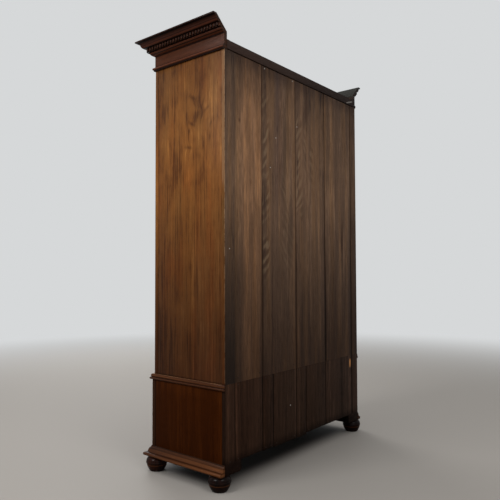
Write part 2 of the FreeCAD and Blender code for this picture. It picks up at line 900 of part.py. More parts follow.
def bolt_rod(z_low, knob_z):
    """Square bolt with a small round knob that the fingers push."""
    x = -stile_centre_x
    half = bolt_side / 2
    y = slide_bolt_y
    shank = box(x - half, x + half, y - half, y + half, z_low, z_low + bolt_length)
    finger = rod(x, y, knob_z, bolt_knob_radius, half + bolt_knob_length, Vector(0, 1, 0))
    return shank.fuse(finger).removeSplitter()


def bolt_keep(z_low):
    """Back plate with two square keeps that guide a slide bolt."""
    x = -stile_centre_x
    half = bolt_plate_width / 2
    front = door_back
    plate_y = front + bolt_plate_thickness
    plate = box(x - half, x + half, front, plate_y, z_low, z_low + bolt_plate_length)
    channel = bolt_side / 2 + bolt_air
    wall = channel + bolt_keep_wall
    loops = []
    for loop_z in (z_low, z_low + bolt_plate_length - bolt_keep_height):
        z_high = loop_z + bolt_keep_height
        loop = box(x - wall, x + wall, plate_y, slide_bolt_y + wall, loop_z, z_high)
        gap_low = loop_z - overcut
        gap_high = z_high + overcut
        gap = box(x - channel, x + channel, plate_y, slide_bolt_y + channel, gap_low, gap_high)
        loops.append(loop.cut(gap))
    return plate.fuse(loops).removeSplitter()


def slide_bolts():
    """Upper bolt, lower bolt and their keeps, both drawn back."""
    top_tip = door_top - stop_batten_lap - bolt_tip_air
    top_low = top_tip - bolt_length
    top_keep_low = top_tip - bolt_tip_air - bolt_plate_length
    low_tip = upper_floor_top + bolt_tip_air
    low_keep_low = low_tip + bolt_tip_air
    finger_shift = bolt_keep_height + bolt_knob_radius + bolt_air
    top_bolt = bolt_rod(top_low, top_keep_low + finger_shift)
    low_bolt = bolt_rod(low_tip, low_keep_low + bolt_plate_length - finger_shift)
    return top_bolt, low_bolt, [bolt_keep(top_keep_low), bolt_keep(low_keep_low)]


def door_stops():
    """Batten behind the top rail and two blocks on the floor, against which the doors close."""
    z_low = door_top - stop_batten_lap
    y_high = upper_inner_front + stop_batten_thickness
    batten = box(-inner_half, inner_half, upper_inner_front, y_high, z_low, upper_ceiling)
    batten = batten.cut(bolt_hole(z_low - overcut, z_low + bolt_travel + bolt_hole_spare))
    block_y = upper_inner_front + stop_block_size
    z_high = upper_floor_top + stop_block_size
    x_near = stile_centre_x + bolt_plate_width
    block = box(x_near, x_near + stop_block_length, upper_inner_front, block_y, upper_floor_top, z_high)
    return [batten, block, mirrored(block)]


def upper_floor_board():
    """Floor of the upper carcass, with the hole for the lower slide bolt."""
    z_low = upper_floor_top - board_thickness
    board = box(-inner_half, inner_half, upper_inner_front, back_inner_y, z_low, upper_floor_top)
    return board.cut(bolt_hole(z_low - overcut, upper_floor_top + overcut))


def hat_shelf():
    """Shelf across the upper carcass, set back from the doors."""
    z_high = upper_top - shelf_drop
    y_low = upper_front + shelf_setback
    return box(-inner_half, inner_half, y_low, back_inner_y, z_high - board_thickness, z_high)


def shelf_bearers():
    """Strips on the side boards that carry the shelf."""
    z_high = upper_top - shelf_drop - board_thickness
    x_low = inner_half - bearer_width
    y_low = upper_front + shelf_setback
    bearer = box(x_low, inner_half, y_low, back_inner_y, z_high - bearer_height, z_high)
    return [bearer, mirrored(bearer)]


def rail_level():
    """Height of the hanging rail's centre."""
    return upper_top - shelf_drop - board_thickness - rail_drop


def rail_middle_y():
    """Depth of the hanging rail: the middle of the inside of the carcass."""
    return (upper_inner_front + back_inner_y) / 2


def hanging_rail():
    """Round wooden rail between the two sockets."""
    reach = inner_half - socket_floor - socket_end_air
    return rod(-reach, rail_middle_y(), rail_level(), rail_radius, 2 * reach, Vector(1, 0, 0))


def rail_sockets():
    """Flanged cups on the side boards that hold the rail."""
    x = inner_half
    y = rail_middle_y()
    z = rail_level()
    inward = Vector(-1, 0, 0)
    bore = rail_radius + socket_air
    cup = rod(x, y, z, bore + socket_wall, socket_length, inward)
    flange = rod(x, y, z, bore + socket_wall + socket_flange, socket_floor, inward)
    hole = rod(x - socket_floor, y, z, bore, socket_length, inward)
    socket = cup.fuse(flange).cut(hole).removeSplitter()
    return [socket, mirrored(socket)]


def drawer_divider():
    """Partition behind the upright that keeps the two drawers apart."""
    half = board_thickness / 2
    return box(-half, half, base_inner_front, back_inner_y, base_floor_top, base_top_underside)


def drawer_guides():
    """Guides beside the drawers, kickers above them and stops behind their fronts."""
    side_guide = box(
        drawer_outer_x + drawer_gap,
        inner_half,
        base_inner_front,
        back_inner_y,
        base_floor_top,
        base_floor_top + guide_height,
    )
    centre_guide = box(
        board_thickness / 2,
        drawer_inner_x - guide_air,
        base_inner_front,
        back_inner_y,
        base_floor_top,
        base_floor_top + guide_height,
    )
    kicker_low = drawer_side_top + kicker_air
    outer_kicker = box(
        drawer_outer_x - drawer_side,
        inner_half,
        base_inner_front,
        back_inner_y,
        kicker_low,
        kicker_low + kicker_height,
    )
    inner_kicker = box(
        board_thickness / 2,
        drawer_inner_x + drawer_side,
        base_inner_front,
        back_inner_y,
        kicker_low,
        kicker_low + kicker_height,
    )
    stop_y = base_front + drawer_front_thickness + drawer_stop_air
    stop_rear = max(stop_y, base_inner_front)
    pieces = [side_guide, centre_guide, outer_kicker, inner_kicker]
    for x in drawer_knob_places():
        half = drawer_stop_length / 2
        z_high = base_floor_top + drawer_stop_height
        y_high = stop_rear + drawer_stop_length / 2
        pieces.append(box(x - half, x + half, stop_y, y_high, base_floor_top, z_high))
    return pieces + [mirrored(piece) for piece in pieces]


def drawer_front():
    """Front of the right drawer, with the holes for its knobs and the groove for its bottom."""
    z_low = drawer_opening_low + drawer_gap
    z_high = drawer_opening_high - drawer_gap
    y_high = base_front + drawer_front_thickness
    front = box(drawer_inner_x, drawer_outer_x, base_front, y_high, z_low, z_high)
    groove_low = drawer_low + drawer_bottom_lift - drawer_groove_air
    groove_high = groove_low + drawer_bottom_thickness + 2 * drawer_groove_air
    groove_x = drawer_side - drawer_groove
    groove = box(
        drawer_inner_x + groove_x,
        drawer_outer_x - groove_x,
        y_high - drawer_groove,
        y_high + overcut,
        groove_low,
        groove_high,
    )
    hole_radius = knob_dowel_radius + knob_dowel_air
    hole_length = drawer_front_thickness + 2 * overcut
    knob_z = drawer_opening_low + drawer_knob_height
    front = front.cut(groove)
    for x in drawer_knob_places():
        hole = rod(x, base_front - overcut, knob_z, hole_radius, hole_length, Vector(0, 1, 0))
        front = front.cut(hole)
    return front


def drawer_knob_places():
    """Distances of the right drawer's knobs from the middle plane."""
    width = drawer_outer_x - drawer_inner_x
    return [drawer_inner_x + share * width for share in (drawer_knob_share, 1 - drawer_knob_share)]


def drawer_box():
    """Sides, back and bottom of the right drawer."""
    x_low = drawer_inner_x
    x_high = drawer_outer_x
    y_low = base_front + drawer_front_thickness
    y_high = drawer_back_y
    z_high = drawer_side_top
    bottom_low = drawer_low + drawer_bottom_lift
    bottom_high = bottom_low + drawer_bottom_thickness
    tongue = drawer_groove - drawer_groove_air
    groove_x_low = x_low + drawer_side - drawer_groove
    groove_x_high = x_high - drawer_side + drawer_groove
    groove = box(
        groove_x_low,
        groove_x_high,
        y_low - overcut,
        y_high + overcut,
        bottom_low - drawer_groove_air,
        bottom_high + drawer_groove_air,
    )
    near_side = box(x_low, x_low + drawer_side, y_low, y_high, drawer_low, z_high).cut(groove)
    far_side = box(x_high - drawer_side, x_high, y_low, y_high, drawer_low, z_high).cut(groove)
    inner_low = x_low + drawer_side
    inner_high = x_high - drawer_side
    back_low = bottom_high + drawer_groove_air
    back = box(inner_low, inner_high, y_high - drawer_side, y_high, back_low, z_high)
    bottom = box(inner_low - tongue, inner_high + tongue, y_low - tongue, y_high, bottom_low, bottom_high)
    return [near_side, far_side, back, bottom]


def drawer_knobs():
    """Two knobs of the right drawer."""
    z = drawer_opening_low + drawer_knob_height
    return [knob(x, z, base_front, drawer_front_thickness) for x in drawer_knob_places()]


def write_cornice():
    """Cornice section."""
    for name, runs in (("frieze", frieze_boards()), ("crown", crown_mouldings())):
        for place, run in zip(("front", "left", "right"), runs):
            save(name + "_" + place, [run])
    save("bed_mouldings", bed_mouldings())
    save("cornice_beads", cornice_beads())
    save("dentils", dentils())
    save("cornice_rear_rail", [cornice_rear_rail()])
    save("cornice_corner_blocks", cornice_corner_blocks())


def write_upper_carcass():
    """Upper carcass with its shelf, rail and door stops."""
    side = side_board(upper_inner_front, upper_base, upper_top)
    save("upper_side_right", [side])
    save("upper_side_left", [mirrored(side)])
    save("upper_front_frame", upper_front_frame())
    ceiling = box(-inner_half, inner_half, upper_inner_front, back_inner_y, upper_ceiling, upper_top)
    save("upper_top_board", [ceiling])
    save("upper_floor_board", [upper_floor_board()])
    stile = back_stile(upper_base, upper_top)
    save("upper_back_stiles", [stile, mirrored(stile)])
    no_drops = [0.0] * len(upper_board_widths)
    boards = back_boards(upper_board_widths, no_drops, upper_base, upper_top)
    save("upper_back_boards", boards)
    save("hat_shelf", [hat_shelf()])
    save("shelf_bearers", shelf_bearers())
    save("hanging_rail", [hanging_rail()])
    save("rail_sockets", rail_sockets())
    save("door_stops", door_stops())


def write_base():
    """Base chest with its plinth, feet and the drawers' woodwork."""
    side = side_board(base_inner_front, plinth_top, base_top_underside)
    save("base_side_right", [side])
    save("base_side_left", [mirrored(side)])
    save("base_front_frame", base_front_frame())
    floor = box(-inner_half, inner_half, base_inner_front, back_inner_y, plinth_top, base_floor_top)
    save("base_floor_board", [floor])
    top = box(-half_width, half_width, base_front, back_inner_y, base_top_underside, base_height)
    save("base_top_board", [top])
    stile = back_stile(plinth_top, base_height)
    save("base_back_stiles", [stile, mirrored(stile)])
    boards = back_boards(base_board_widths, base_board_drops, plinth_top, base_height)
    save("base_back_boards", boards)
    save("drawer_divider", [drawer_divider()])
    save("drawer_guides", drawer_guides())
    save("plinth_frame", plinth_frame())
    save("plinth_mouldings", plinth_mouldings())
    save("waist_mouldings", waist_mouldings())
    save("bun_feet", bun_feet())
    save("back_nails", back_nails())


def write_doors():
    """Doors with their hinges, lock, key, knob and slide bolts."""
    panels = [fielded_panel(*limits) for limits in panel_openings()]
    save("door_right_frame", right_door_frame())
    save("door_right_panels", panels)
    save("door_left_frame", left_door_frame())
    save("door_left_panels", [mirrored(panel) for panel in panels])
    post_leaves = hinge_leaves(1)
    door_leaves = hinge_leaves(-1)
    pins = hinge_pins()
    save("hinge_post_leaves", post_leaves + [mirrored(leaf) for leaf in post_leaves])
    save("hinge_pins", pins + [mirrored(pin) for pin in pins])
    save("door_right_hinge_leaves", door_leaves)
    save("door_left_hinge_leaves", [mirrored(leaf) for leaf in door_leaves])
    save("lock_case", [lock_case()])
    save("lock_bolt", [lock_bolt()])
    save("key", [key()])
    save("escutcheon", [escutcheon()])
    save("door_knob", [knob(stile_centre_x, lock_z + door_knob_rise, upper_front, door_thickness)])
    top_bolt, low_bolt, keeps = slide_bolts()
    save("upper_slide_bolt", [top_bolt])
    save("lower_slide_bolt", [low_bolt])
    save("slide_bolt_keeps", keeps)


def write_drawers():
    """The two drawers, mirror images of each other."""
    front = drawer_front()
    box_pieces = drawer_box()
    knobs = drawer_knobs()
    save("drawer_right_front", [front])
    save("drawer_right_box", box_pieces)
    save("drawer_right_knobs", knobs)
    save("drawer_left_front", [mirrored(front)])
    save("drawer_left_box", [mirrored(piece) for piece in box_pieces])
    save("drawer_left_knobs", [mirrored(piece) for piece in knobs])


os.makedirs("parts", exist_ok=True)
write_cornice()
write_upper_carcass()
write_base()
write_doors()
write_drawers()
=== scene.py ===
import json
from math import radians

import bpy
from mathutils import Matrix, Vector

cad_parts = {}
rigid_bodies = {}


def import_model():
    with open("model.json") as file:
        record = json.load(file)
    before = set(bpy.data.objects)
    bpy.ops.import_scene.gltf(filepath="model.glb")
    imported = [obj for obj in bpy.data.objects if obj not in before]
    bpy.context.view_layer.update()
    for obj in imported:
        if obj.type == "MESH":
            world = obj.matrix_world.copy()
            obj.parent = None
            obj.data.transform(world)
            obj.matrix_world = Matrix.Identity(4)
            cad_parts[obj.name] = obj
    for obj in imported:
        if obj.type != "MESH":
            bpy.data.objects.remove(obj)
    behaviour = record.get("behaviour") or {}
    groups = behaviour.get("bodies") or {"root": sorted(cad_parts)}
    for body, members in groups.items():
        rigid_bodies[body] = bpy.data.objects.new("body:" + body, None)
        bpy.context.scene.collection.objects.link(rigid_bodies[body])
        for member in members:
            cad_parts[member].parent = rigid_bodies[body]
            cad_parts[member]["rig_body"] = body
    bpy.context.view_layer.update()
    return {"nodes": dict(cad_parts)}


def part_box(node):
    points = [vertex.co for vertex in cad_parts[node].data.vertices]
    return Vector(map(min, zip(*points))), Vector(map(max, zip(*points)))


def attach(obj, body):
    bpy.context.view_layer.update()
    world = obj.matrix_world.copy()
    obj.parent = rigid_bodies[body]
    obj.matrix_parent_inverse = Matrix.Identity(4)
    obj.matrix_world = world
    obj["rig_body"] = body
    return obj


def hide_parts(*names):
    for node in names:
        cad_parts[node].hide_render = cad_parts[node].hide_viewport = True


# Old mahogany wardrobe: its woods, its metals and a plain studio.
# Everything is in metres, with the doors towards -Y and the back towards +Y.

bl_info = {
    "name": "Old mahogany wardrobe",
    "version": (1, 0, 0),
    "blender": (4, 5, 0),
    "location": "3D View > Sidebar > Wardrobe",
    "description": "Finishes a wardrobe's woods and metals and lights it in a plain studio",
    "category": "Object",
}

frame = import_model()

# Places of the boards and mouldings, from the frame
side_face, side_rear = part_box("upper_side_right")[1][:2]
stile_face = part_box("upper_back_stiles")[1][1]
post_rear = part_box("base_side_right")[0][1]
carcass_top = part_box("upper_top_board")[1][2]
rail_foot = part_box("cornice_rear_rail")[0][2]
plinth_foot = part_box("plinth_mouldings")[0][2]
waist_foot, waist_top = (corner[2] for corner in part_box("waist_mouldings"))
bead_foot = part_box("cornice_beads")[0][2]
bed_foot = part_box("bed_mouldings")[0][2]

# How meshes are merged and eased
merge_reach = 0.000002
flat_angle = radians(0.5)
crease_angle = radians(35)
edge_steps = 2

# Loose tongues in the seams between the back boards
tongue_width = 0.010
tongue_thickness = 0.005
tongue_gap = 0.002

# Each step numbers its boards from its own first number, so that it can run alone
board_count = [0]
first_boards = dict(sides=0, doors=2, base=11, mouldings=15, cornice=17, back=144, inside=168)

# The three tones of a wood
tone_names = ("deep", "middle", "bright")


def paint(red, green, blue):
    """Linear colour from the 0 to 255 values that a colour picker shows."""
    shares = (red / 255, green / 255, blue / 255)
    return tuple(s / 12.92 if s <= 0.04045 else ((s + 0.055) / 1.055) ** 2.4 for s in shares)


def colour(name, description, red, green, blue):
    """Colour property whose default is given as a colour picker shows it."""
    return bpy.props.FloatVectorProperty(
        name=name,
        description=description,
        subtype="COLOR",
        size=3,
        min=0.0,
        max=1.0,
        default=paint(red, green, blue),
    )


def length(name, description, millimetres):
    """Length property whose default is given in millimetres."""
    return bpy.props.FloatProperty(
        name=name,
        description=description,
        subtype="DISTANCE",
        unit="LENGTH",
        precision=4,
        min=0.0,
        default=millimetres / 1000,
    )


def amount(name, description, default, highest=1.0, subtype="FACTOR"):
    """Number from 0 up to a highest value: a share, or what the subtype says."""
    return bpy.props.FloatProperty(
        name=name,
        description=description,
        subtype=subtype,
        min=0.0,
        max=highest,
        default=default,
    )


class WardrobeColours(bpy.types.PropertyGroup):
    """Colours of the woods and metals."""

    turned_deep: colour("Turned wood, dark", "Dark polish of feet and knobs", 9, 4, 3)
    turned_bright: colour("Turned wood, bright", "Rubbed polish of feet and knobs", 42, 17, 8)
    brass_bright: colour("Brass", "Rubbed brass of hinges, lock and bolts", 196, 160, 92)
    brass_dull: colour("Brass, tarnish", "Tarnish on the brass", 104, 78, 42)
    iron_bright: colour("Iron", "Rubbed iron of the key and the nails", 176, 170, 162)
    iron_dull: colour("Iron, rust", "Rust on the key", 84, 66, 54)
    nail_rust: colour("Nails, rust", "Rusty heads of most nails", 44, 33, 27)
    raw_wood: colour("Cornice, raw back", "Grey raw wood of the cornice's sloping back", 46, 45, 41)
    worn_arris_and_highlight: colour("Worn arris", "Pale rubbed corner of the rear stiles", 138, 110, 84)
    grey_chip: colour("Grey chip", "Weathered chip at the far end of the rear rail", 132, 128, 122)
    bare_wood: colour("Bare wood", "Fresh wood where a sliver broke off the base's back", 190, 134, 84)
    back_ripple: colour("Back, ripple", "Light strokes across the grain of the back", 136, 115, 91)
    back_soot: colour("Back, soot", "Grey film on the edges of the back", 52, 42, 36)


# Darkest streaks, body and brightest streaks of each wood
wood_tones = {
    "side": ("Side boards", (80, 45, 19), (120, 75, 34), (152, 101, 50)),
    "front": ("Doors and front frame", (52, 24, 14), (98, 54, 31), (142, 86, 50)),
    "base": ("Base's sides", (33, 13, 3), (48, 20, 4), (68, 32, 8)),
    "trim": ("Mouldings", (38, 20, 10), (65, 36, 19), (104, 62, 34)),
    "cornice": ("Cornice", (30, 13, 9), (67, 36, 21), (92, 50, 32)),
    "back": ("Back boards", (66, 50, 41), (97, 75, 59), (126, 98, 76)),
    "inner": ("Unpolished inside", (96, 62, 38), (136, 94, 60), (168, 124, 84)),
    "soot": ("Base's back", (28, 19, 14), (52, 37, 28), (80, 58, 45)),
}
for wood_name, (wood_label, *shades) in wood_tones.items():
    for tone, part, shade in zip(tone_names, ("dark grain", "body", "bright grain"), shades):
        described = f"Colour of the {part} of this wood: {wood_label.lower()}"
        prop = colour(f"{wood_label}, {part}", described, *shade)
        WardrobeColours.__annotations__[f"{wood_name}_{tone}"] = prop


class WardrobeSizes(bpy.types.PropertyGroup):
    """How far the edges are eased."""

    board_edge: length("Boards' eased edge", "Width of the worn edge of the boards", 0.9)
    frame_edge: length("Frames' eased edge", "Width of the worn edge of frames and panels", 0.7)
    trim_edge: length("Mouldings' eased edge", "Width of the worn edge of the mouldings", 0.35)


class WardrobeStudio(bpy.types.PropertyGroup):
    """The floor, the lamps and the camera."""

    floor_near: colour("Floor", "Pale floor round the wardrobe", 152, 147, 141)
    backdrop: colour("Backdrop", "Pale tone into which the floor fades", 214, 216, 217)
    lens: amount("Lens", "Focal length of the camera", 40.16, 200.0, "DISTANCE_CAMERA")
    key_power: amount("Key lamp", "Power of the large lamp beside the wardrobe", 115.0, 500.0, "POWER")
    fill_power: amount("Fill lamp", "Power of the soft lamp behind the camera", 62.0, 500.0, "POWER")
    front_power: amount("Front lamp", "Power of the soft lamp before the doors", 110.0, 500.0, "POWER")
    room_light: amount("Room light", "Strength of the even light from all round", 0.3)
    overhead_light: amount("Overhead light", "Strength that the even light gains overhead", 0.5)


class Value:
    """One output socket of a finish; arithmetic on it adds Math nodes."""

    def __init__(self, finish, socket):
        self.finish = finish
        self.socket = socket

    def __add__(self, other):
        return self.finish.math("ADD", self, other)

    __radd__ = __add__

    def __mul__(self, other):
        return self.finish.math("MULTIPLY", self, other)

    __rmul__ = __mul__

    def __sub__(self, other):
        return self.finish.math("SUBTRACT", self, other)

    def __rsub__(self, other):
        return self.finish.math("SUBTRACT", other, self)

    def __truediv__(self, other):
        return self.finish.math("DIVIDE", self, other)

    def __abs__(self):
        return self.finish.math("ABSOLUTE", self)

    def or_more(self, other):
        """The larger of two values."""
        return self.finish.math("MAXIMUM", self, other)

    def tinted(self, factor, tint):
        """This colour multiplied by a tint, as far as the factor says."""
        return self.finish.mix(factor, self, tint, "MULTIPLY")

    def exponential(self):
        return self.finish.math("EXPONENT", self)

    def above(self, low, high):
        """0 below low, 1 above high, and smooth between."""
        sockets = {"Value": self, "From Min": low, "From Max": high, "To Min": 0.0, "To Max": 1.0}
        settings = {"interpolation_type": "SMOOTHSTEP", "clamp": True}
        return self.finish.node("ShaderNodeMapRange", sockets, "Result", **settings)

    def below(self, low, high):
        """1 below low, 0 above high, and smooth between."""
        return 1 - self.above(low, high)

    def between(self, low, high, soft):
        """1 from low to high, fading to 0 over a soft edge on each side."""
        return self.above(low - soft, low + soft) * self.below(high - soft, high + soft)


class Finish:
    """A material, or the world, that is written node by node."""

    def __init__(self, name, world=None):
        self.material = world or bpy.data.materials.new(name)
        self.material.use_nodes = True
        self.tree = self.material.node_tree
        self.tree.nodes.clear()
        self.place = self.node("ShaderNodeTexCoord", {}, "Object")
        self.x, self.y, self.z = self.split(self.place)

    def node(self, kind, sockets, output=0, **settings):
        """Adds a node, sets its settings and then its sockets, and gives one of its outputs."""
        node = self.tree.nodes.new(kind)
        for name, value in settings.items():
            if name == "stops":
                self.set_stops(node.color_ramp, value)
            else:
                setattr(node, name, value)
        for name, value in sockets.items():
            socket = node.inputs[name]
            if isinstance(value, Value):
                self.tree.links.new(value.socket, socket)
            elif socket.type == "RGBA":
                socket.default_value = (*value[:3], 1.0)
            else:
                socket.default_value = value
        return Value(self, node.outputs[output]) if node.outputs else None

    def set_stops(self, ramp, stops):
        """Gives a colour ramp its stops, each a place and a colour."""
        ramp.interpolation = "EASE"
        while len(ramp.elements) < len(stops):
            ramp.elements.new(0.5)
        for element, (position, tone) in zip(ramp.elements, stops):
            element.position = position
            element.color = (*tone[:3], 1.0)

    def math(self, operation, first, second=0.0):
        return self.node("ShaderNodeMath", {0: first, 1: second}, operation=operation)

    def split(self, vector, axes="XYZ"):
        """The shares of a vector along its axes, or along some of them."""
        return [self.node("ShaderNodeSeparateXYZ", {0: vector}, axis) for axis in axes]

    def seen(self):
        """1 for rays from the camera and in reflections, and 0 for the light on the wardrobe."""
        camera = self.node("ShaderNodeLightPath", {}, "Is Camera Ray")
        return camera.or_more(self.node("ShaderNodeLightPath", {}, "Is Glossy Ray"))

    def shifted(self, vector, x=0.0, y=0.0, z=0.0):
        """A vector moved by numbers or values."""
        shift = self.node("ShaderNodeCombineXYZ", {"X": x, "Y": y, "Z": z})
        return self.node("ShaderNodeVectorMath", {0: vector, 1: shift}, operation="ADD")

    def noise(self, vector, scale, detail=2.0, rough=0.5):
        """Noise from 0 to 1 with a scale for each direction."""
        stretched = self.node("ShaderNodeMapping", {"Vector": vector, "Scale": scale})
        sockets = {"Vector": stretched, "Scale": 1.0, "Detail": detail, "Roughness": rough}
        return self.node("ShaderNodeTexNoise", sockets)

    def swell(self, value, middle, reach):
        """Round hill of height 1 along one coordinate."""
        u = (value - middle) / reach
        return (u * u * -1).exponential()

    def hill(self, across, up, middle, reach, slope=0.0):
        """Round hill of height 1 at a place given in two coordinates, drawn along a slope."""
        u = across - middle[0]
        v = (up - middle[1] - u * slope) / reach[1]
        u = u / reach[0]
        return ((u * u + v * v) * -1).exponential()

    def marks(self, across, up, places):
        """Sum of hills given as (across, up, reach across, reach up, slope, height)."""
        total = 0.0
        for middle_across, middle_up, reach_across, reach_up, slope, height in places:
            middle = (middle_across, middle_up)
            total = self.hill(across, up, middle, (reach_across, reach_up), slope) * height + total
        return total

    def ramp(self, factor, *stops):
        """Colour along a ramp of (place, colour) stops."""
        return self.node("ShaderNodeValToRGB", {0: factor}, stops=stops)

    def mix(self, factor, first, second, blend="MIX"):
        """Blend of two colours."""
        settings = {"data_type": "RGBA", "blend_type": blend, "clamp_factor": True}
        return self.node("ShaderNodeMix", {0: factor, 6: first, 7: second}, 2, **settings)

    def close(self, base, rough, height, depth, metallic=0.0, specular=0.5, coat=0.0, coat_rough=0.22):
        """Adds the relief, the surface and the output."""
        sockets = {"Height": height, "Strength": 1.0, "Distance": depth}
        normal = self.node("ShaderNodeBump", sockets)
        sockets = {
            "Base Color": base,
            "Roughness": rough,
            "Metallic": metallic,
            "Specular IOR Level": specular,
            "Coat Weight": coat,
            "Coat Roughness": coat_rough,
            "Normal": normal,
        }
        surface = self.node("ShaderNodeBsdfPrincipled", sockets)
        self.node("ShaderNodeOutputMaterial", {"Surface": surface})
        return self.material


class Wood(Finish):
    """A wood whose grain runs along each board, on the boards' own coordinates."""

    def __init__(self, name, wander=0.03):
        super().__init__(name)
        board = self.attribute("board", "Vector")
        self.tone = self.attribute("tone", "Fac")
        margins = self.attribute("margin", "Vector")
        low, high = self.split(margins, "XY")
        self.margin = self.math("MINIMUM", low, high)
        drift = self.noise(board, (3.5, 3.5, 1.0))
        self.board = self.shifted(board, x=(drift - 0.5) * wander)

    def attribute(self, name, output):
        return self.node("ShaderNodeAttribute", {}, output, attribute_name=name)

    def grain(self, wide, ribbon, thread, dash, board=None):
        """Streaks along the board: wide ones, ribbons, fine threads and short dashes."""
        board = board or self.board
        self.threads = self.noise(board, (140.0, 140.0, 3.5), 3.0)
        streaks = self.noise(board, (9.0, 9.0, 0.5), 3.0)
        ribbons = self.noise(board, (46.0, 46.0, 1.5), 3.0)
        dashes = self.noise(board, (170.0, 170.0, 17.0), 2.0)
        shares = (streaks - 0.5) * wide + (ribbons - 0.5) * ribbon + (self.threads - 0.5) * thread
        return shares + (dashes - 0.5) * dash + 0.5 + (self.tone - 0.5) * 0.14

    def toned(self, factor, tones, name, dark, bright):
        """Colour among a wood's three tones, whose ramp runs from dark to bright."""
        deep, middle, pale = (getattr(tones, f"{name}_{tone}") for tone in tone_names)
        return self.ramp(factor, (dark, deep), (0.5, middle), (bright, pale))

    def pores(self):
        """Short dark pores, from 0 to 1."""
        return self.noise(self.board, (700.0, 700.0, 24.0), 1.0).above(0.56, 0.68)

    def lined(self, base, foot, quirks, strength):
        """Painted shade and grime in the quirks of a moulding, given as (height over its foot, half width).
        """
        shade_and_dirt = 0.0
        for rise, half in quirks:
            shade_and_dirt = self.z.between(foot + rise - half, foot + rise + half, 0.0008) + shade_and_dirt
        return base.tinted(shade_and_dirt * strength, (0.12, 0.1, 0.1))

    def surface(self, base, rough, depth=0.0003, specular=0.4, coat=0.0, wear=0.18):
        """Closes the finish with pores in its colour, its gloss and its relief."""
        pores = self.pores()
        base = base.tinted(pores * 0.5, (0.45, 0.38, 0.34))
        clouds = self.noise(self.place, (7.0, 7.0, 4.0), 3.0)
        gloss = (clouds - 0.5) * wear + rough + pores * 0.12
        height = self.threads * 0.6 - pores * 0.7
        return self.close(base, gloss, height, depth, specular=specular, coat=coat)


def side_tones(wood, tones, factor):
    """Colour of the polished sides, which also covers the posts' and stiles' outer faces, with painted
    shade and a painted pool of light on it.
    """
    base = wood.toned(factor, tones, "side", 0.24, 0.78)
    hue = wood.noise(wood.board, (13.0, 13.0, 2.5), 3.0)
    base = base.tinted(hue.above(0.5, 0.68) * 0.9, (1.04, 0.9, 0.82))
    base = base.tinted(hue.below(0.32, 0.5) * 0.9, (0.93, 1.0, 1.1))
    # Painted shade from the cornice darkens the top of the sides
    base = base.tinted(wood.z.above(1.75, 2.04) * 0.5, (0.42, 0.42, 0.44))
    # Painted pool of light: a paler band at mid height
    base = base.tinted(wood.swell(wood.z, 1.52, 0.22), (1.12, 1.12, 1.1))
    # Darker towards the foot: painted shade where less light falls, with some patina
    base = base.tinted(wood.z.below(0.42, 1.58) * 0.91, (0.27, 0.23, 0.32))
    # Painted shade, with some grime, in the crease just above the waist moulding
    return base.tinted(wood.z.below(waist_top + 0.004, waist_top + 0.013) * 0.6, (0.3, 0.25, 0.25))


def unpolished(wood, tones, factor):
    """Colour of raw wood inside the wardrobe."""
    return wood.toned(factor, tones, "inner", 0.22, 0.8)


def side_finish(tones):
    """Warm polished side boards with figure round a few knots, darker towards the foot."""
    wood = Wood("side_mahogany", 0.02)
    x, y, z = wood.x, wood.y, wood.z
    pulls = (
        (0.063, 1.856, 0.030, 0.030, 0.0, 0.014),
        (0.125, 1.775, 0.030, 0.035, 0.0, -0.016),
        (0.050, 1.722, 0.026, 0.026, 0.0, 0.012),
        (0.033, 1.614, 0.030, 0.022, 0.0, -0.012),
    )
    dark_marks = (
        (0.066, 1.854, 0.020, 0.012, -0.45, 1.0),
        (0.040, 1.870, 0.014, 0.012, 0.5, 0.5),
        (0.125, 1.768, 0.022, 0.034, 0.3, 0.75),
        (0.134, 1.824, 0.012, 0.016, 1.7, 0.6),
        (0.160, 1.790, 0.018, 0.010, 0.5, 0.7),
        (0.056, 1.727, 0.020, 0.010, -0.55, 1.0),
        (0.038, 1.695, 0.007, 0.014, 0.0, 1.0),
        (0.033, 1.614, 0.026, 0.009, -0.2, 0.9),
        (0.184, 1.714, 0.008, 0.012, 1.0, 0.8),
        (0.173, 1.640, 0.007, 0.024, 0.0, 0.5),
        (0.120, 1.900, 0.024, 0.080, 0.0, 0.5),
    )
    bright_marks = (
        (0.014, 1.915, 0.020, 0.060, 0.0, 0.16),
        (0.075, 1.800, 0.022, 0.020, -0.5, 0.14),
        (0.072, 1.690, 0.030, 0.035, 0.0, 0.10),
        (0.190, 1.880, 0.018, 0.120, 0.0, 0.14),
    )
    board = wood.shifted(wood.board, x=wood.marks(y, z, pulls))
    figure = wood.noise(board, (18.0, 18.0, 6.5), 3.0, 0.6)
    figured = z.above(1.2, 1.75) * 0.4 + 0.4
    factor = wood.grain(0.3, 0.4, 0.65, 0.1, board) + (figure - 0.5) * figured
    factor = factor + y.between(0.085, 0.2, 0.02) * z.below(0.75, 1.05) * 0.1
    factor = factor + y.between(0.055, 0.071, 0.006) * z.below(1.0, 1.3) * 0.12
    factor = factor + y.above(0.14, 0.25) * 0.07 + wood.marks(y, z, bright_marks)
    base = side_tones(wood, tones, factor)
    smudge = y.between(-0.05, -0.018, 0.018) * z.between(0.9, 1.4, 0.14)
    base = base.tinted(smudge * 0.3, (0.3, 0.27, 0.3))
    base = base.tinted(y.below(-0.2, -0.1) * 0.4, (0.5, 0.42, 0.42))
    base = base.tinted(y.above(0.05, 0.1) * z.below(1.0, 1.5) * 0.8, (0.96, 1.02, 1.25))
    base = base.tinted(wood.marks(y, z, dark_marks) * 0.8, (0.34, 0.3, 0.32))
    # The boards' inner faces are raw
    inner = abs(x).below(side_face - 0.009, side_face - 0.005)
    base = wood.mix(inner, base, unpolished(wood, tones, factor))
    return wood.surface(base, 0.42, specular=0.05, coat=0.02)


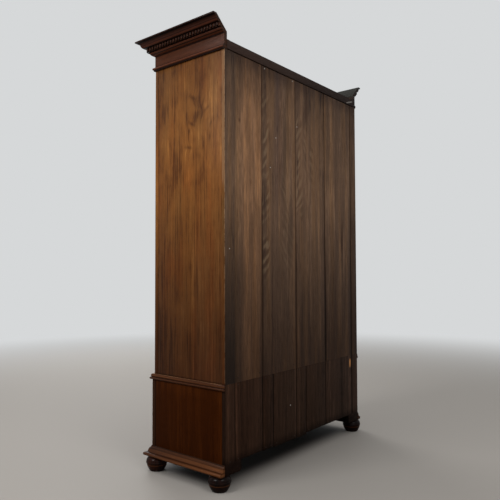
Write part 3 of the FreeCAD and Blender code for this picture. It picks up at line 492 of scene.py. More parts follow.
def front_finish(tones):
    """Redder polished wood of the doors and the front frame."""
    wood = Wood("front_mahogany", 0.05)
    factor = wood.grain(1.1, 0.8, 0.45, 0.35)
    base = wood.toned(factor, tones, "front", 0.2, 0.82)
    base = base.tinted(wood.z.below(0.4, 1.6) * 0.4, (0.6, 0.5, 0.45))
    base = base.tinted(wood.margin.below(0.0008, 0.0035) * 0.5, (1.5, 1.4, 1.3))
    # The posts' outer faces are polished like the sides, and less bright than the doors
    outer = abs(wood.x).above(side_face - 0.0015, side_face - 0.0002)
    polished = side_tones(wood, tones, factor).tinted(0.5, (0.62, 0.52, 0.48))
    base = wood.mix(outer, base, polished)
    return wood.surface(base, 0.36, specular=0.05, coat=outer * -0.36 + 0.38)


def base_finish(tones):
    """Near-black reddish wood of the base's sides and front frame."""
    wood = Wood("base_mahogany", 0.03)
    warmer = wood.swell(wood.y, -0.04, 0.07) + wood.y.above(0.18, 0.25) + wood.z.above(0.38, 0.46)
    factor = wood.grain(0.45, 0.4, 0.3, 0.2) + warmer * 0.1 - 0.05
    base = wood.toned(factor, tones, "base", 0.22, 0.8)
    # The front frame shows its paler edge beside the side board, with dirt in the joint
    post = wood.y.below(post_rear - 0.001, post_rear + 0.001)
    base = wood.mix(post * 0.55, base, tones.soot_middle)
    base = base.tinted(wood.y.between(post_rear, post_rear + 0.004, 0.001) * 0.8, (0.2, 0.2, 0.2))
    return wood.surface(base, 0.45, specular=0.01)


def darker_far_end(wood, base):
    """Darkens the far rear ends of the mouldings."""
    return base.tinted(wood.x.below(-0.62, -0.60) * wood.y.above(0.17, 0.24), (0.25, 0.25, 0.3))


def trim_finish(tones):
    """Brown mouldings of the waist and the plinth, with painted shade and grime in their quirks and hollow,
    and painted highlights with some wear on their ridges.
    """
    wood = Wood("moulding_mahogany", 0.01)
    # Bands on the ridges of the waist and plinth mouldings: painted highlight, with some wear
    highlit = wood.z.between(waist_foot + 0.0155, waist_foot + 0.0235, 0.002)
    for low, high in ((0.0225, 0.0335), (0.0065, 0.0145)):
        highlit = wood.z.between(plinth_foot + low, plinth_foot + high, 0.002) + highlit
    factor = wood.grain(0.5, 0.5, 0.25, 0.1) + highlit * 0.12 - 0.05
    base = wood.toned(factor, tones, "trim", 0.2, 0.82)
    base = wood.lined(base, waist_foot, ((0.0, 0.002), (0.012, 0.0022)), 0.7)
    quirks = ((0.0, 0.003), (0.0183, 0.0013), (0.0365, 0.001), (0.048, 0.0022))
    base = wood.lined(base, plinth_foot, quirks, 0.7)
    # Painted shade in the plinth's hollow
    cove = wood.z.between(plinth_foot + 0.0375, plinth_foot + 0.049, 0.002)
    base = base.tinted(cove * 0.5, (0.45, 0.45, 0.5))
    base = base.tinted(wood.z.below(0.15, 0.2) * wood.y.above(-0.3, 0.3), (1.85, 1.9, 1.75))
    base = darker_far_end(wood, base)
    return wood.surface(base, 0.4, specular=0.04, coat=0.03)


def cornice_finish(name, tones, dim):
    """Dark red-brown cornice, darkened by a share of painted shade, with painted shade and grime in its
    quirks, painted highlights on its bead and bed moulding, and raw where it faces the back.
    """
    wood = Wood(name, 0.01)
    # Painted highlights on the bead and the bed moulding
    highlit = wood.swell(wood.z, bead_foot + 0.0125, 0.003)
    for rise, reach in ((0.0048, 0.0022), (0.0155, 0.0022), (0.046, 0.003)):
        highlit = wood.swell(wood.z, bed_foot + rise, reach) + highlit
    factor = wood.grain(0.6, 0.6, 0.3, 0.2) + highlit * 0.28
    base = wood.toned(factor, tones, "cornice", 0.2, 0.82)
    base = wood.lined(base, bead_foot, ((0.0025, 0.003), (0.021, 0.0032)), 0.9)
    bed_quirks = ((0.0, 0.0032), (0.0095, 0.0018), (0.0215, 0.003))
    crown_quirks = ((0.041, 0.0022), (0.0525, 0.0014), (0.0675, 0.0022), (0.075, 0.002))
    base = wood.lined(base, bed_foot, (*bed_quirks, *crown_quirks), 0.9)
    # The dentils, in the crown's shade, get this share of painted shade
    base = base.tinted(dim, (0.0, 0.0, 0.0))
    base = base.tinted(wood.z.above(2.15, 2.18) * 0.7, (0.42, 0.36, 0.5))
    facing = wood.node("ShaderNodeTexCoord", {}, "Normal")
    nx, ny = wood.split(facing, "XY")
    raw = (nx * wood.x).below(-0.2, -0.1) * wood.z.above(2.1, 2.13)
    base = wood.mix(raw, base, tones.raw_wood)
    base = wood.mix(ny.above(0.3, 0.6) * 0.7, base, tones.soot_middle)
    base = wood.mix(raw, darker_far_end(wood, base), base)
    return wood.surface(base, 0.42, specular=0.04, coat=0.03)


def ripple(wood, base, slope, side, height, strength, tones):
    """Light and dark strokes across the grain, leaning one way, within a patch of the back."""
    low, high = side
    lean = wood.z + wood.x * slope
    where = wood.node("ShaderNodeCombineXYZ", {"X": wood.x, "Z": lean})
    waver = wood.noise(where, (9.0, 1.0, 6.0), 3.0)
    strokes = wood.math("SINE", lean * 105.0 + waver * 17.0) * 0.5 + 0.5
    patches = wood.noise(where, (18.0, 1.0, 6.0), 3.0).above(0.4, 0.62)
    edge = (high - low) * 0.25
    band = wood.x.between(low, high, edge) * wood.z.between(*height, 0.08) * patches * strength
    base = wood.mix(strokes.above(0.35, 1.0) * band * 0.55, base, tones.back_ripple)
    return base.tinted(strokes.below(0.0, 0.7) * band * 0.42, (0.42, 0.38, 0.4))


def back_finish(tones):
    """Unpolished grey-brown back boards with ripple beside the seams, soot along the edges, a painted pool
    of light, and painted shade low down and below the rail.
    """
    wood = Wood("aged_back_wood", 0.03)
    x, y, z = wood.x, wood.y, wood.z
    wisps = wood.noise(wood.board, (7.0, 7.0, 4.5), 2.0)
    board = wood.shifted(wood.board, x=(wisps - 0.5) * 0.025)
    factor = wood.grain(0.5, 0.34, 0.4, 0.3, board)
    figure = wood.noise(board, (15.0, 15.0, 2.4), 4.0, 0.6)
    factor = factor + (figure - 0.5) * 0.4
    mottle = wood.noise(wood.board, (16.0, 16.0, 5.0), 3.0, 0.6)
    factor = factor + (mottle - 0.5) * z.above(0.9, 1.6) * 0.45
    broad = wood.noise(board, (26.0, 26.0, 1.4), 2.0)
    factor = factor + (broad - 0.5) * x.below(-0.2, 0.3) * 0.5
    raw = unpolished(wood, tones, factor)
    pale_streaks = (
        (0.487, 1.45, 0.022, 0.40, 0.0, 0.07),
        (0.400, 1.50, 0.035, 0.40, 0.0, 0.06),
        (0.120, 1.30, 0.020, 0.35, 0.0, 0.12),
        (-0.075, 1.35, 0.026, 0.35, 0.0, 0.14),
        (-0.300, 1.60, 0.020, 0.30, 0.0, 0.06),
        (-0.475, 1.10, 0.010, 0.16, 0.0, 0.20),
    )
    factor = factor + wood.marks(x, z, pale_streaks)
    base = wood.toned(factor, tones, "back", 0.24, 0.78)
    # Streaks turn from brown to purple grey, and a painted pool of light makes the boards palest above
    # their middle
    hue = wood.noise(wood.board, (26.0, 26.0, 0.9), 2.0)
    base = base.tinted(hue.above(0.45, 0.62) * 0.6, (0.74, 0.77, 0.86))
    base = base.tinted(hue.below(0.36, 0.5) * 0.6, (1.2, 1.12, 0.96))
    base = base.tinted(wood.swell(z, 1.47, 0.34), (1.42, 1.42, 1.38))
    # The board nearest the polished side is the warmest, with a grey streak in the next
    clouds = wood.noise(wood.board, (9.0, 9.0, 1.4), 3.0)
    rough_edge = (clouds - 0.5) * 0.06
    first = x.above(0.332, 0.356) * (x + rough_edge).below(0.47, 0.56)
    base = base.tinted(first * (z.above(0.5, 1.2) * 0.4 + 0.6), (1.5, 1.35, 1.18))
    base = base.tinted(x.between(0.2, 0.3, 0.03), (1.14, 1.14, 1.14))
    base = base.tinted(x.between(0.165, 0.23, 0.02) * z.above(1.2, 1.5), (0.84, 0.86, 0.98))
    by_seam = x.between(-0.09, 0.03, 0.02) * z.above(1.3, 1.5)
    base = base.tinted(by_seam.or_more(x.between(0.01, 0.095, 0.02)), (1.27, 1.25, 1.22))
    base = ripple(wood, base, 1.1, (0.284, 0.344), (0.98, 1.96), 1.0, tones)
    base = ripple(wood, base, 1.0, (-0.020, 0.040), (1.30, 1.88), 0.8, tones)
    base = ripple(wood, base, -1.1, (-0.125, -0.040), (1.50, 1.80), 0.7, tones)
    base = ripple(wood, base, -1.3, (0.060, 0.190), (1.05, 1.50), 0.5, tones)
    # Darker towards the foot: painted shade where less light falls
    base = base.tinted(z.below(0.42, 1.22) * 0.88, (0.36, 0.33, 0.34))
    top = z.above(1.76, 2.03) * (x.above(0.3, 0.38) * 0.4 + 0.26)
    base = base.tinted(top, (0.32, 0.35, 0.42))
    # Painted shade just below the rear rail
    base = base.tinted(z.above(1.96, 2.04) * 0.7, (0.45, 0.45, 0.5))
    soot = clouds.above(0.54, 0.78) * 0.4
    near = (x + rough_edge).above(0.48, 0.565) * (z.below(0.65, 1.35) * 0.7 + 0.05)
    far = (x + rough_edge).below(-0.6, -0.47) * (z.below(1.2, 1.7) * 0.3 + 0.25)
    soot = soot.or_more(near).or_more(far)
    base = wood.mix(soot, base, tones.back_soot)
    far_stile = x.below(-0.57, -0.54) * z.above(0.9, 1.3)
    base = base.tinted(far_stile * 0.6, (0.5, 0.48, 0.5))
    foot = (x + rough_edge).above(0.5, 0.58) * z.below(0.5, 0.85) * 0.55
    base = base.tinted(foot, (0.3, 0.3, 0.32))
    base = base.tinted(x.below(-0.28, -0.24) * z.below(1.1, 1.6) * 0.5, (0.72, 0.74, 0.8))
    joint_width = z.below(0.8, 1.35) * 0.013 + 0.005
    joint = wood.margin.below(0.001, joint_width) * (x.below(0.5, 0.53) * 0.65 + 0.1)
    base = base.tinted(joint + joint * x.between(-0.3, -0.2, 0.02) * 0.4, (0.2, 0.17, 0.16))
    stains = (
        (0.520, 1.733, 0.008, 0.010, 0.0, 0.7),
        (-0.452, 1.180, 0.012, 0.120, -3.0, 0.9),
        (0.500, 1.640, 0.012, 0.060, 0.0, 0.3),
    )
    base = base.tinted(wood.marks(x, z, stains), (0.35, 0.28, 0.26))
    base = wood.mix(y.below(side_rear + 0.005, side_rear + 0.009), base, raw)
    # The stiles' outer faces are polished with the sides; their arris is worn pale, and a painted highlight
    # makes the arris and the upper stiles paler
    outer = side_tones(wood, tones, factor + 0.04)
    outer = outer.tinted(y.below(side_rear, side_rear + 0.002) * 0.6, (0.3, 0.25, 0.22))
    outer = outer.tinted(z.between(1.0, 1.4, 0.08) * 0.8, (0.6, 0.7, 0.9))
    outer = wood.mix(z.above(1.38, 1.46) * 0.5, outer, tones.worn_arris_and_highlight)
    base = wood.mix(abs(x).above(side_face - 0.0008, side_face - 0.0001), base, outer)
    arris = abs(x).above(side_face - 0.0032, side_face - 0.0016)
    arris = arris * y.above(stile_face - 0.004, stile_face - 0.0022)
    broken = wood.noise(wood.place, (60.0, 60.0, 45.0), 3.0).above(0.38, 0.55)
    highlit = arris * broken * (z.above(0.7, 1.3) * 0.6 + 0.2)
    base = wood.mix(highlit, base, tones.worn_arris_and_highlight)
    return wood.surface(base, 0.72, 0.0006, 0.06)


def base_back_finish(tones):
    """The base's back and the plinth frame, nearly black with soot, with painted shade along their foot."""
    wood = Wood("sooty_back_wood", 0.03)
    x, z = wood.x, wood.z
    factor = wood.grain(0.6, 0.6, 0.4, 0.4) - (wood.tone - 0.5) * 0.08
    base = wood.toned(factor, tones, "soot", 0.2, 0.85)
    base = base.tinted(wood.margin.below(0.001, 0.007) * 0.8, (0.2, 0.18, 0.17))
    base = base.tinted(x.above(0.1, 0.5), (1.08, 0.96, 0.9))
    base = base.tinted(x.below(-0.5, 0.0), (0.98, 1.06, 1.2))
    base = base.tinted(x.between(0.300, 0.344, 0.012) * 0.6, (0.45, 0.42, 0.4))
    # Painted shade along the foot, near the floor
    base = base.tinted(z.below(0.105, 0.17) * 0.9, (0.2, 0.18, 0.19))
    sliver = wood.hill(x, z, (-0.537, 0.437), (0.0075, 0.027)).above(0.25, 0.5)
    base = wood.mix(sliver, base, tones.bare_wood)
    # The rear rail is greyer than the boards under it, with a pale chip at its far end
    rail = z.above(rail_foot - 0.013, rail_foot + 0.007)
    base = wood.mix(rail * 0.8, base, tones.back_soot)
    base = base.tinted(rail, (1.4, 1.42, 1.57))
    base = base.tinted(rail * x.below(-0.5, 0.4) * 0.8, (0.45, 0.47, 0.5))
    chip = wood.hill(x, z, (-0.552, 2.070), (0.040, 0.0045), -0.3).above(0.25, 0.5)
    base = wood.mix(chip, base, tones.grey_chip)
    return wood.surface(base, 0.7, 0.0006, 0.03)


def inner_finish(tones):
    """Unpolished wood of the shelves, boards and drawer boxes."""
    wood = Wood("inner_wood", 0.05)
    base = unpolished(wood, tones, wood.grain(0.9, 0.7, 0.45, 0.35))
    # Dust has greyed the top of the carcass
    base = base.tinted(wood.z.above(carcass_top - 0.004, carcass_top - 0.001), (0.4, 0.41, 0.43))
    return wood.surface(base, 0.62, 0.0004, 0.2)


def turned_finish(tones):
    """Dark shining polish of the turned feet and knobs."""
    turned = Finish("turned_wood")
    grain = turned.noise(turned.place, (120.0, 120.0, 16.0), 3.0)
    clouds = turned.noise(turned.place, (14.0, 14.0, 14.0), 3.0)
    base = turned.ramp(grain * 0.6 + clouds * 0.4, (0.3, tones.turned_deep), (0.7, tones.turned_bright))
    # The rear feet are blacker with painted shade, and a painted highlight rings the lip below each foot's
    # groove
    base = base.tinted(turned.y.above(0.0, 0.1) * 0.9, (0.36, 0.38, 0.42))
    base = turned.mix(turned.swell(turned.z, 0.0325, 0.0018) * 0.5, base, tones.trim_bright)
    gloss = (clouds - 0.5) * 0.1 + 0.3
    return turned.close(base, gloss, grain, 0.0001, specular=0.02, coat=0.12, coat_rough=0.05)


def metal_finish(name, bright, dull, rough):
    """Handled metal with dull patches and fine scratches."""
    metal = Finish(name)
    patches = metal.noise(metal.place, (38.0, 38.0, 38.0), 5.0, 0.62)
    grains = metal.noise(metal.place, (900.0, 900.0, 900.0), 2.0)
    dullness = patches.above(0.42, 0.64)
    base = metal.mix(dullness, bright, dull)
    gloss = dullness * 0.25 + rough + (grains - 0.5) * 0.12
    return metal.close(base, gloss, grains + patches, 0.00012, metallic=1.0 - dullness * 0.35)


def nail_finish(tones):
    """Rusty nail heads, with painted glints on a few listed heads."""
    nail = Finish("nail_iron")
    # Heads with a painted glint
    upper = ((0.320, 2.040), (0.068, 2.040), (0.030, 1.797), (0.225, 1.700), (0.273, 1.538), (0.594, 1.112))
    bright = 0.0
    for place in (*upper, (0.105, 0.298)):
        bright = nail.hill(nail.x, nail.z, place, (0.01, 0.01)) + bright
    patches = nail.noise(nail.place, (400.0, 400.0, 400.0), 3.0)
    base = nail.mix(bright, tones.nail_rust, tones.iron_bright)
    return nail.close(base, 0.55, patches, 0.0001, metallic=bright * 0.15, specular=0.1)


def only(piece):
    """Selects one object and nothing else."""
    bpy.ops.object.select_all(action="DESELECT")
    piece.select_set(True)
    bpy.context.view_layer.objects.active = piece


def joined_sets(count, pairs):
    """Lists the sets into which the pairs join the numbers below count."""
    leader = list(range(count))

    def first_of(number):
        while leader[number] != number:
            leader[number] = leader[leader[number]]
            number = leader[number]
        return number

    for one, other in pairs:
        leader[first_of(other)] = first_of(one)
    sets = {}
    for number in range(count):
        sets.setdefault(first_of(number), []).append(number)
    return list(sets.values())


def solids_in(mesh):
    """Lists the corners of each solid of a CAD mesh, whose faces meet in place but share no corners."""
    places = [vertex.co.to_tuple() for vertex in mesh.vertices]
    meeting = {}
    for polygon in mesh.polygons:
        for start, end in polygon.edge_keys:
            edge = frozenset((places[start], places[end]))
            meeting.setdefault(edge, []).append(polygon.vertices[0])
    pairs = [(polygon.vertices[0], corner) for polygon in mesh.polygons for corner in polygon.vertices]
    # Where two solids touch, four faces meet, and those of the first solid come first
    for corners in meeting.values():
        pairs.extend(zip(corners[0::2], corners[1::2]))
    return joined_sets(len(places), pairs)


def merge_corners(piece):
    """Merges the corners of each solid of a copied CAD node, and its flat faces."""
    mesh = piece.data
    solids = solids_in(mesh)
    numbers = [0] * len(mesh.vertices)
    for number, corners in enumerate(solids):
        for corner in corners:
            numbers[corner] = number
    mesh.attributes.new("solid", "INT", "POINT").data.foreach_set("value", numbers)
    bpy.ops.mesh.customdata_custom_splitnormals_clear()
    for number in range(len(solids)):
        chosen = [mark.value == number for mark in mesh.attributes["solid"].data]
        mesh.polygons.foreach_set("select", [False] * len(mesh.polygons))
        mesh.edges.foreach_set("select", [False] * len(mesh.edges))
        mesh.vertices.foreach_set("select", chosen)
        bpy.ops.object.mode_set(mode="EDIT")
        bpy.ops.mesh.select_mode(type="VERT")
        bpy.ops.mesh.remove_doubles(threshold=merge_reach)
        bpy.ops.object.mode_set(mode="OBJECT")
    bpy.ops.object.mode_set(mode="EDIT")
    bpy.ops.mesh.select_all(action="SELECT")
    bpy.ops.mesh.dissolve_limited(angle_limit=flat_angle)
    bpy.ops.object.mode_set(mode="OBJECT")
    mesh.attributes.remove(mesh.attributes["solid"])


def extent(mesh, corners):
    """Lowest and highest place along each axis among some corners of a mesh."""
    points = [mesh.vertices[corner].co for corner in corners]
    low = [min(point[axis] for point in points) for axis in range(3)]
    return low, [max(point[axis] for point in points) for axis in range(3)]


def number_boards(mesh, along, start):
    """Gives every corner its place on its own board, and every board a tone of its own."""
    boards = joined_sets(len(mesh.vertices), (edge.vertices for edge in mesh.edges))
    places = [None] * len(mesh.vertices)
    margins = [None] * len(mesh.vertices)
    tones = [0.0] * len(mesh.vertices)
    for number, corners in enumerate(boards, start):
        low, high = extent(mesh, corners)
        spans = [high[axis] - low[axis] for axis in range(3)]
        run = spans.index(max(spans)) if along is None else "xyz".index(along)
        across, depth = sorted((axis for axis in range(3) if axis != run), key=lambda axis: -spans[axis])
        # Every board reads its own part of the noise
        shift = Vector((number * 0.731 % 5, number * 0.417 % 3, number * 1.913 % 7))
        for corner in corners:
            point = mesh.vertices[corner].co
            local = Vector((point[across] - low[across], point[depth] - low[depth], point[run]))
            places[corner] = local + shift
            margins[corner] = (local.x, spans[across] - local.x, 0.0)
            tones[corner] = number * 0.618 % 1
    for name, vectors in (("board", places), ("margin", margins)):
        layer = mesh.attributes.new(name, "FLOAT_VECTOR", "POINT")
        layer.data.foreach_set("vector", [share for vector in vectors for share in vector])
    mesh.attributes.new("tone", "FLOAT", "POINT").data.foreach_set("value", tones)
    return len(boards)


def ease_boards(piece, material, edge, along):
    """Eases the edges of a piece and gives it a wood that runs along its boards."""
    bevel = piece.modifiers.new("eased edges", "BEVEL")
    bevel.width = edge
    bevel.segments = edge_steps
    bevel.limit_method = "ANGLE"
    bevel.angle_limit = crease_angle
    bevel.miter_outer = "MITER_ARC"
    bpy.ops.object.modifier_apply(modifier=bevel.name)
    bpy.ops.object.shade_smooth_by_angle(angle=crease_angle)
    board_count[0] += number_boards(piece.data, along, board_count[0])
    piece.data.materials.clear()
    piece.data.materials.append(material)


def dress_wood(node, material, edge, along):
    """Copies a CAD node, merges its corners, eases its edges and gives it a wood."""
    source = frame["nodes"][node]
    piece = bpy.data.objects.new(node + "_wood", source.data.copy())
    bpy.context.scene.collection.objects.link(piece)
    only(piece)
    merge_corners(piece)
    ease_boards(piece, material, edge, along)
    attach(piece, source["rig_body"])
    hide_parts(node)
    return piece


def lay_tongues(name, boards, material, edge):
    """Lays a loose tongue in each seam between back boards, so that no light comes through."""
    mesh = boards.data
    middle = sum(vertex.co.y for vertex in mesh.vertices) / len(mesh.vertices)
    spans = []
    for corners in joined_sets(len(mesh.vertices), (side.vertices for side in mesh.edges)):
        low, high = extent(mesh, corners)
        spans.append((low[0], high[0], low[2], high[2]))
    spans.sort()
    tongues = []
    for left, right in zip(spans, spans[1:]):
        foot = max(left[2], right[2]) + tongue_gap
        head = min(left[3], right[3]) - tongue_gap
        place = ((left[1] + right[0]) / 2, middle, (foot + head) / 2)
        bpy.ops.object.select_all(action="DESELECT")
        bpy.ops.mesh.primitive_cube_add(size=1.0, calc_uvs=False, location=place)
        bpy.context.object.scale = (tongue_width, tongue_thickness, head - foot)
        tongues.append(bpy.context.object)
    only(tongues[0])
    for tongue in tongues:
        tongue.select_set(True)
    bpy.ops.object.join()
    piece = bpy.context.object
    piece.name = name
    bpy.ops.object.transform_apply(location=True, rotation=True, scale=True)
    ease_boards(piece, material, edge, "z")
    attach(piece, boards["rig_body"])


def begin(step, context):
    """Numbers a step's boards from its first number, and gives the colours and the sizes."""
    board_count[0] = first_boards[step]
    return context.scene.wardrobe_colours, context.scene.wardrobe_sizes


def polish(node, material):
    """Gives a CAD node its finish as it stands."""
    for slot in frame["nodes"][node].material_slots:
        slot.link = "OBJECT"
        slot.material = material


class WARDROBE_OT_sides(bpy.types.Operator):
    """Polish the two side boards of the upper carcass"""

    bl_idname = "wardrobe.sides"
    bl_label = "Side boards"

    def execute(self, context):
        tones, sizes = begin("sides", context)
        material = side_finish(tones)
        for node in ("upper_side_right", "upper_side_left"):
            dress_wood(node, material, sizes.board_edge, "z")
        return {"FINISHED"}


class WARDROBE_OT_doors(bpy.types.Operator):
    """Polish the front frame, both doors and the drawer fronts"""

    bl_idname = "wardrobe.doors"
    bl_label = "Front frame, doors and drawer fronts"

    def execute(self, context):
        tones, sizes = begin("doors", context)
        material = front_finish(tones)
        edge = sizes.frame_edge
        for node in ("upper_front_frame", "door_right_frame", "door_left_frame"):
            dress_wood(node, material, edge, None)
        for node in ("door_right_panels", "door_left_panels"):
            dress_wood(node, material, edge, "z")
        for node in ("drawer_right_front", "drawer_left_front"):
            dress_wood(node, material, edge, "x")
        return {"FINISHED"}


class WARDROBE_OT_base(bpy.types.Operator):
    """Stain the base's side boards and front frame"""

    bl_idname = "wardrobe.base"
    bl_label = "Base"

    def execute(self, context):
        tones, sizes = begin("base", context)
        material = base_finish(tones)
        for node in ("base_side_right", "base_side_left"):
            dress_wood(node, material, sizes.board_edge, "z")
        dress_wood("base_front_frame", material, sizes.frame_edge, None)
        return {"FINISHED"}


class WARDROBE_OT_mouldings(bpy.types.Operator):
    """Polish the waist and plinth mouldings"""

    bl_idname = "wardrobe.mouldings"
    bl_label = "Waist and plinth mouldings"

    def execute(self, context):
        tones, sizes = begin("mouldings", context)
        material = trim_finish(tones)
        for node in ("waist_mouldings", "plinth_mouldings"):
            dress_wood(node, material, sizes.trim_edge, None)
        return {"FINISHED"}


class WARDROBE_OT_cornice(bpy.types.Operator):
    """Polish the cornice, its mouldings and its dentils"""

    bl_idname = "wardrobe.cornice"
    bl_label = "Cornice"

    def execute(self, context):
        tones, sizes = begin("cornice", context)
        material = cornice_finish("cornice_mahogany", tones, 0.0)
        nodes = ("frieze_front", "frieze_left", "frieze_right", "crown_front", "crown_left", "crown_right")
        for node in (*nodes, "bed_mouldings", "cornice_beads"):
            dress_wood(node, material, sizes.trim_edge, None)
        # The dentils take a darker copy of the cornice's wood: painted shade
        material = cornice_finish("dentil_mahogany", tones, 0.45)
        dress_wood("dentils", material, sizes.trim_edge, "z")
        return {"FINISHED"}


class WARDROBE_OT_back(bpy.types.Operator):
    """Age the back boards, their stiles, the cornice's rear rail and the plinth frame"""

    bl_idname = "wardrobe.back"
    bl_label = "Back"

    def execute(self, context):
        tones, sizes = begin("back", context)
        edge = sizes.board_edge
        material = back_finish(tones)
        boards = dress_wood("upper_back_boards", material, edge, "z")
        lay_tongues("upper_back_tongues", boards, material, edge)
        dress_wood("upper_back_stiles", material, edge, "z")
        material = base_back_finish(tones)
        boards = dress_wood("base_back_boards", material, edge, "z")
        lay_tongues("base_back_tongues", boards, material, edge)
        dress_wood("base_back_stiles", material, edge, "z")
        for node in ("cornice_rear_rail", "plinth_frame"):
            dress_wood(node, material, edge, None)
        return {"FINISHED"}


class WARDROBE_OT_inside(bpy.types.Operator):
    """Finish the unpolished boards, shelf, rail, guides and drawer boxes"""

    bl_idname = "wardrobe.inside"
    bl_label = "Inside and drawer boxes"

    def execute(self, context):
        tones, sizes = begin("inside", context)
        material = inner_finish(tones)
        boards = ("base_floor_board", "base_top_board", "upper_floor_board", "upper_top_board", "hat_shelf")
        strips = ("shelf_bearers", "hanging_rail", "door_stops", "cornice_corner_blocks", "drawer_divider")
        boxes = ("drawer_guides", "drawer_right_box", "drawer_left_box")
        for node in (*boards, *strips, *boxes):
            dress_wood(node, material, sizes.frame_edge, None)
        return {"FINISHED"}


class WARDROBE_OT_turned(bpy.types.Operator):
    """Polish the turned feet and knobs"""

    bl_idname = "wardrobe.turned"
    bl_label = "Feet and knobs"

    def execute(self, context):
        material = turned_finish(context.scene.wardrobe_colours)
        for node in ("bun_feet", "door_knob", "drawer_right_knobs", "drawer_left_knobs"):
            polish(node, material)
        return {"FINISHED"}


class WARDROBE_OT_metals(bpy.types.Operator):
    """Finish the hinges, lock, bolts, sockets, key and nails"""

    bl_idname = "wardrobe.metals"
    bl_label = "Brass and iron"

    def execute(self, context):
        tones = context.scene.wardrobe_colours
        brass = metal_finish("brass", tones.brass_bright, tones.brass_dull, 0.3)
        hinges = ("door_right_hinge_leaves", "door_left_hinge_leaves", "hinge_post_leaves", "hinge_pins")
        lock = ("escutcheon", "lock_case", "lock_bolt")
        bolts = ("upper_slide_bolt", "lower_slide_bolt", "slide_bolt_keeps", "rail_sockets")
        for node in (*hinges, *lock, *bolts):
            polish(node, brass)
        polish("key", metal_finish("iron", tones.iron_bright, tones.iron_dull, 0.38))
        polish("back_nails", nail_finish(tones))
        return {"FINISHED"}


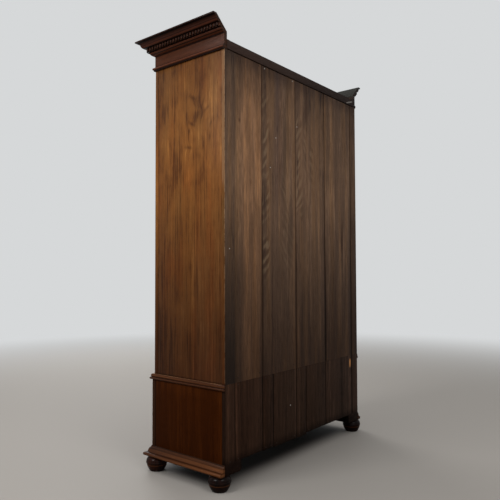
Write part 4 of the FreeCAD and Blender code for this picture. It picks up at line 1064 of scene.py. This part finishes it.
class WARDROBE_OT_studio(bpy.types.Operator):
    """Lay the pale floor, light the wardrobe softly and place the camera"""

    bl_idname = "wardrobe.studio"
    bl_label = "Studio"

    def execute(self, context):
        studio = context.scene.wardrobe_studio
        self.lay_floor(studio)
        self.fill_world(context.scene, studio)
        self.hang_lamp("key_lamp", (4.0, -0.7, 3.6), (0.3, 0.0, 1.4), 2.0, studio.key_power)
        self.hang_lamp("fill_lamp", (1.2, 3.6, 4.0), (0.0, 0.2, 1.7), 2.0, studio.fill_power)
        self.hang_lamp("front_lamp", (-2.2, -4.2, 3.0), (0.0, -0.2, 1.1), 2.6, studio.front_power)
        self.place_camera(context.scene, studio)
        return {"FINISHED"}

    def lay_floor(self, studio):
        """Pale floor that fades into the backdrop with distance, with a painted shadow beneath the base."""
        bpy.ops.object.select_all(action="DESELECT")
        bpy.ops.mesh.primitive_plane_add(size=80.0)
        floor = bpy.context.object
        floor.name = "studio_floor"
        finish = Finish("studio_floor")
        far = (finish.x * finish.x + finish.y * finish.y).above(3.0, 40.0)
        # Painted shadow on the floor beneath the base, where hardly any light reaches
        under = finish.x.between(-0.6, 0.6, 0.08) * finish.y.between(-0.2, 0.2, 0.08)
        tone = finish.mix(under * 0.92, studio.floor_near, (0.0, 0.0, 0.0))
        sockets = {"Base Color": tone, "Roughness": 0.7, "Specular IOR Level": 0.25}
        near = finish.node("ShaderNodeBsdfPrincipled", sockets)
        pale = finish.node("ShaderNodeEmission", {"Color": studio.backdrop})
        surface = finish.node("ShaderNodeMixShader", {0: far * finish.seen(), 1: near, 2: pale})
        finish.node("ShaderNodeOutputMaterial", {"Surface": surface})
        floor.data.materials.append(finish.material)

    def fill_world(self, scene, studio):
        """Even light, seen as the pale backdrop by the camera and in reflections."""
        scene.world = bpy.data.worlds.new("studio_world")
        sky = Finish("studio_world", scene.world)
        direction = sky.node("ShaderNodeTexCoord", {}, "Generated")
        (height,) = sky.split(direction, "Z")
        strength = height.above(0.0, 0.9) * studio.overhead_light + studio.room_light
        even = sky.node("ShaderNodeBackground", {"Strength": strength})
        pale = sky.node("ShaderNodeBackground", {"Color": studio.backdrop})
        both = sky.node("ShaderNodeMixShader", {0: sky.seen(), 1: even, 2: pale})
        sky.node("ShaderNodeOutputWorld", {"Surface": both})

    def hang_lamp(self, name, place, target, size, power):
        """Soft square lamp that points at a target."""
        bpy.ops.object.light_add(type="AREA", location=place)
        lamp = bpy.context.object
        lamp.name = name
        lamp.rotation_euler = (Vector(target) - Vector(place)).to_track_quat("-Z", "Y").to_euler()
        lamp.data.shape = "SQUARE"
        lamp.data.size = size
        lamp.data.energy = power

    def place_camera(self, scene, studio):
        """Camera behind the wardrobe, off its right-hand rear corner."""
        place = Vector((2.5503, 1.9836, 1.0076))
        forward = Vector((-0.77564, -0.63006, 0.03745)).normalized()
        up = Vector((0.02728, 0.02581, 0.99929))
        right = forward.cross(up).normalized()
        up = right.cross(forward)
        turned = Matrix((right, up, -forward)).transposed().to_4x4()
        bpy.ops.object.camera_add()
        camera = bpy.context.object
        camera.name = "camera"
        camera.matrix_world = Matrix.Translation(place) @ turned
        camera.data.lens = studio.lens
        camera.data.sensor_width = 36.0
        camera.data.clip_end = 200.0
        scene.camera = camera


class WARDROBE_PT_panel(bpy.types.Panel):
    """Sizes, colours and steps of the wardrobe"""

    bl_idname = "WARDROBE_PT_panel"
    bl_label = "Wardrobe"
    bl_space_type = "VIEW_3D"
    bl_region_type = "UI"
    bl_category = "Wardrobe"

    def draw(self, context):
        for pointer in groups:
            group = getattr(context.scene, pointer)
            box = self.layout.box()
            for name in group.bl_rna.properties.keys():
                if name not in ("rna_type", "name"):
                    box.prop(group, name)
        for step in steps:
            self.layout.operator(step.bl_idname)


groups = {
    "wardrobe_colours": WardrobeColours,
    "wardrobe_sizes": WardrobeSizes,
    "wardrobe_studio": WardrobeStudio,
}
steps = (
    WARDROBE_OT_studio,
    WARDROBE_OT_sides,
    WARDROBE_OT_doors,
    WARDROBE_OT_base,
    WARDROBE_OT_mouldings,
    WARDROBE_OT_cornice,
    WARDROBE_OT_back,
    WARDROBE_OT_inside,
    WARDROBE_OT_turned,
    WARDROBE_OT_metals,
)


def register():
    for item in (*groups.values(), *steps, WARDROBE_PT_panel):
        bpy.utils.register_class(item)
    for pointer, group in groups.items():
        setattr(bpy.types.Scene, pointer, bpy.props.PointerProperty(type=group))


def unregister():
    for pointer in groups:
        delattr(bpy.types.Scene, pointer)
    for item in reversed((*groups.values(), *steps, WARDROBE_PT_panel)):
        bpy.utils.unregister_class(item)


def main():
    """Registers the steps and runs every step in order."""
    register()
    bpy.context.scene.view_settings.view_transform = "Standard"
    for step in steps:
        name = step.bl_idname.split(".")[1]
        getattr(bpy.ops.wardrobe, name)()


if __name__ == "__main__":
    main()
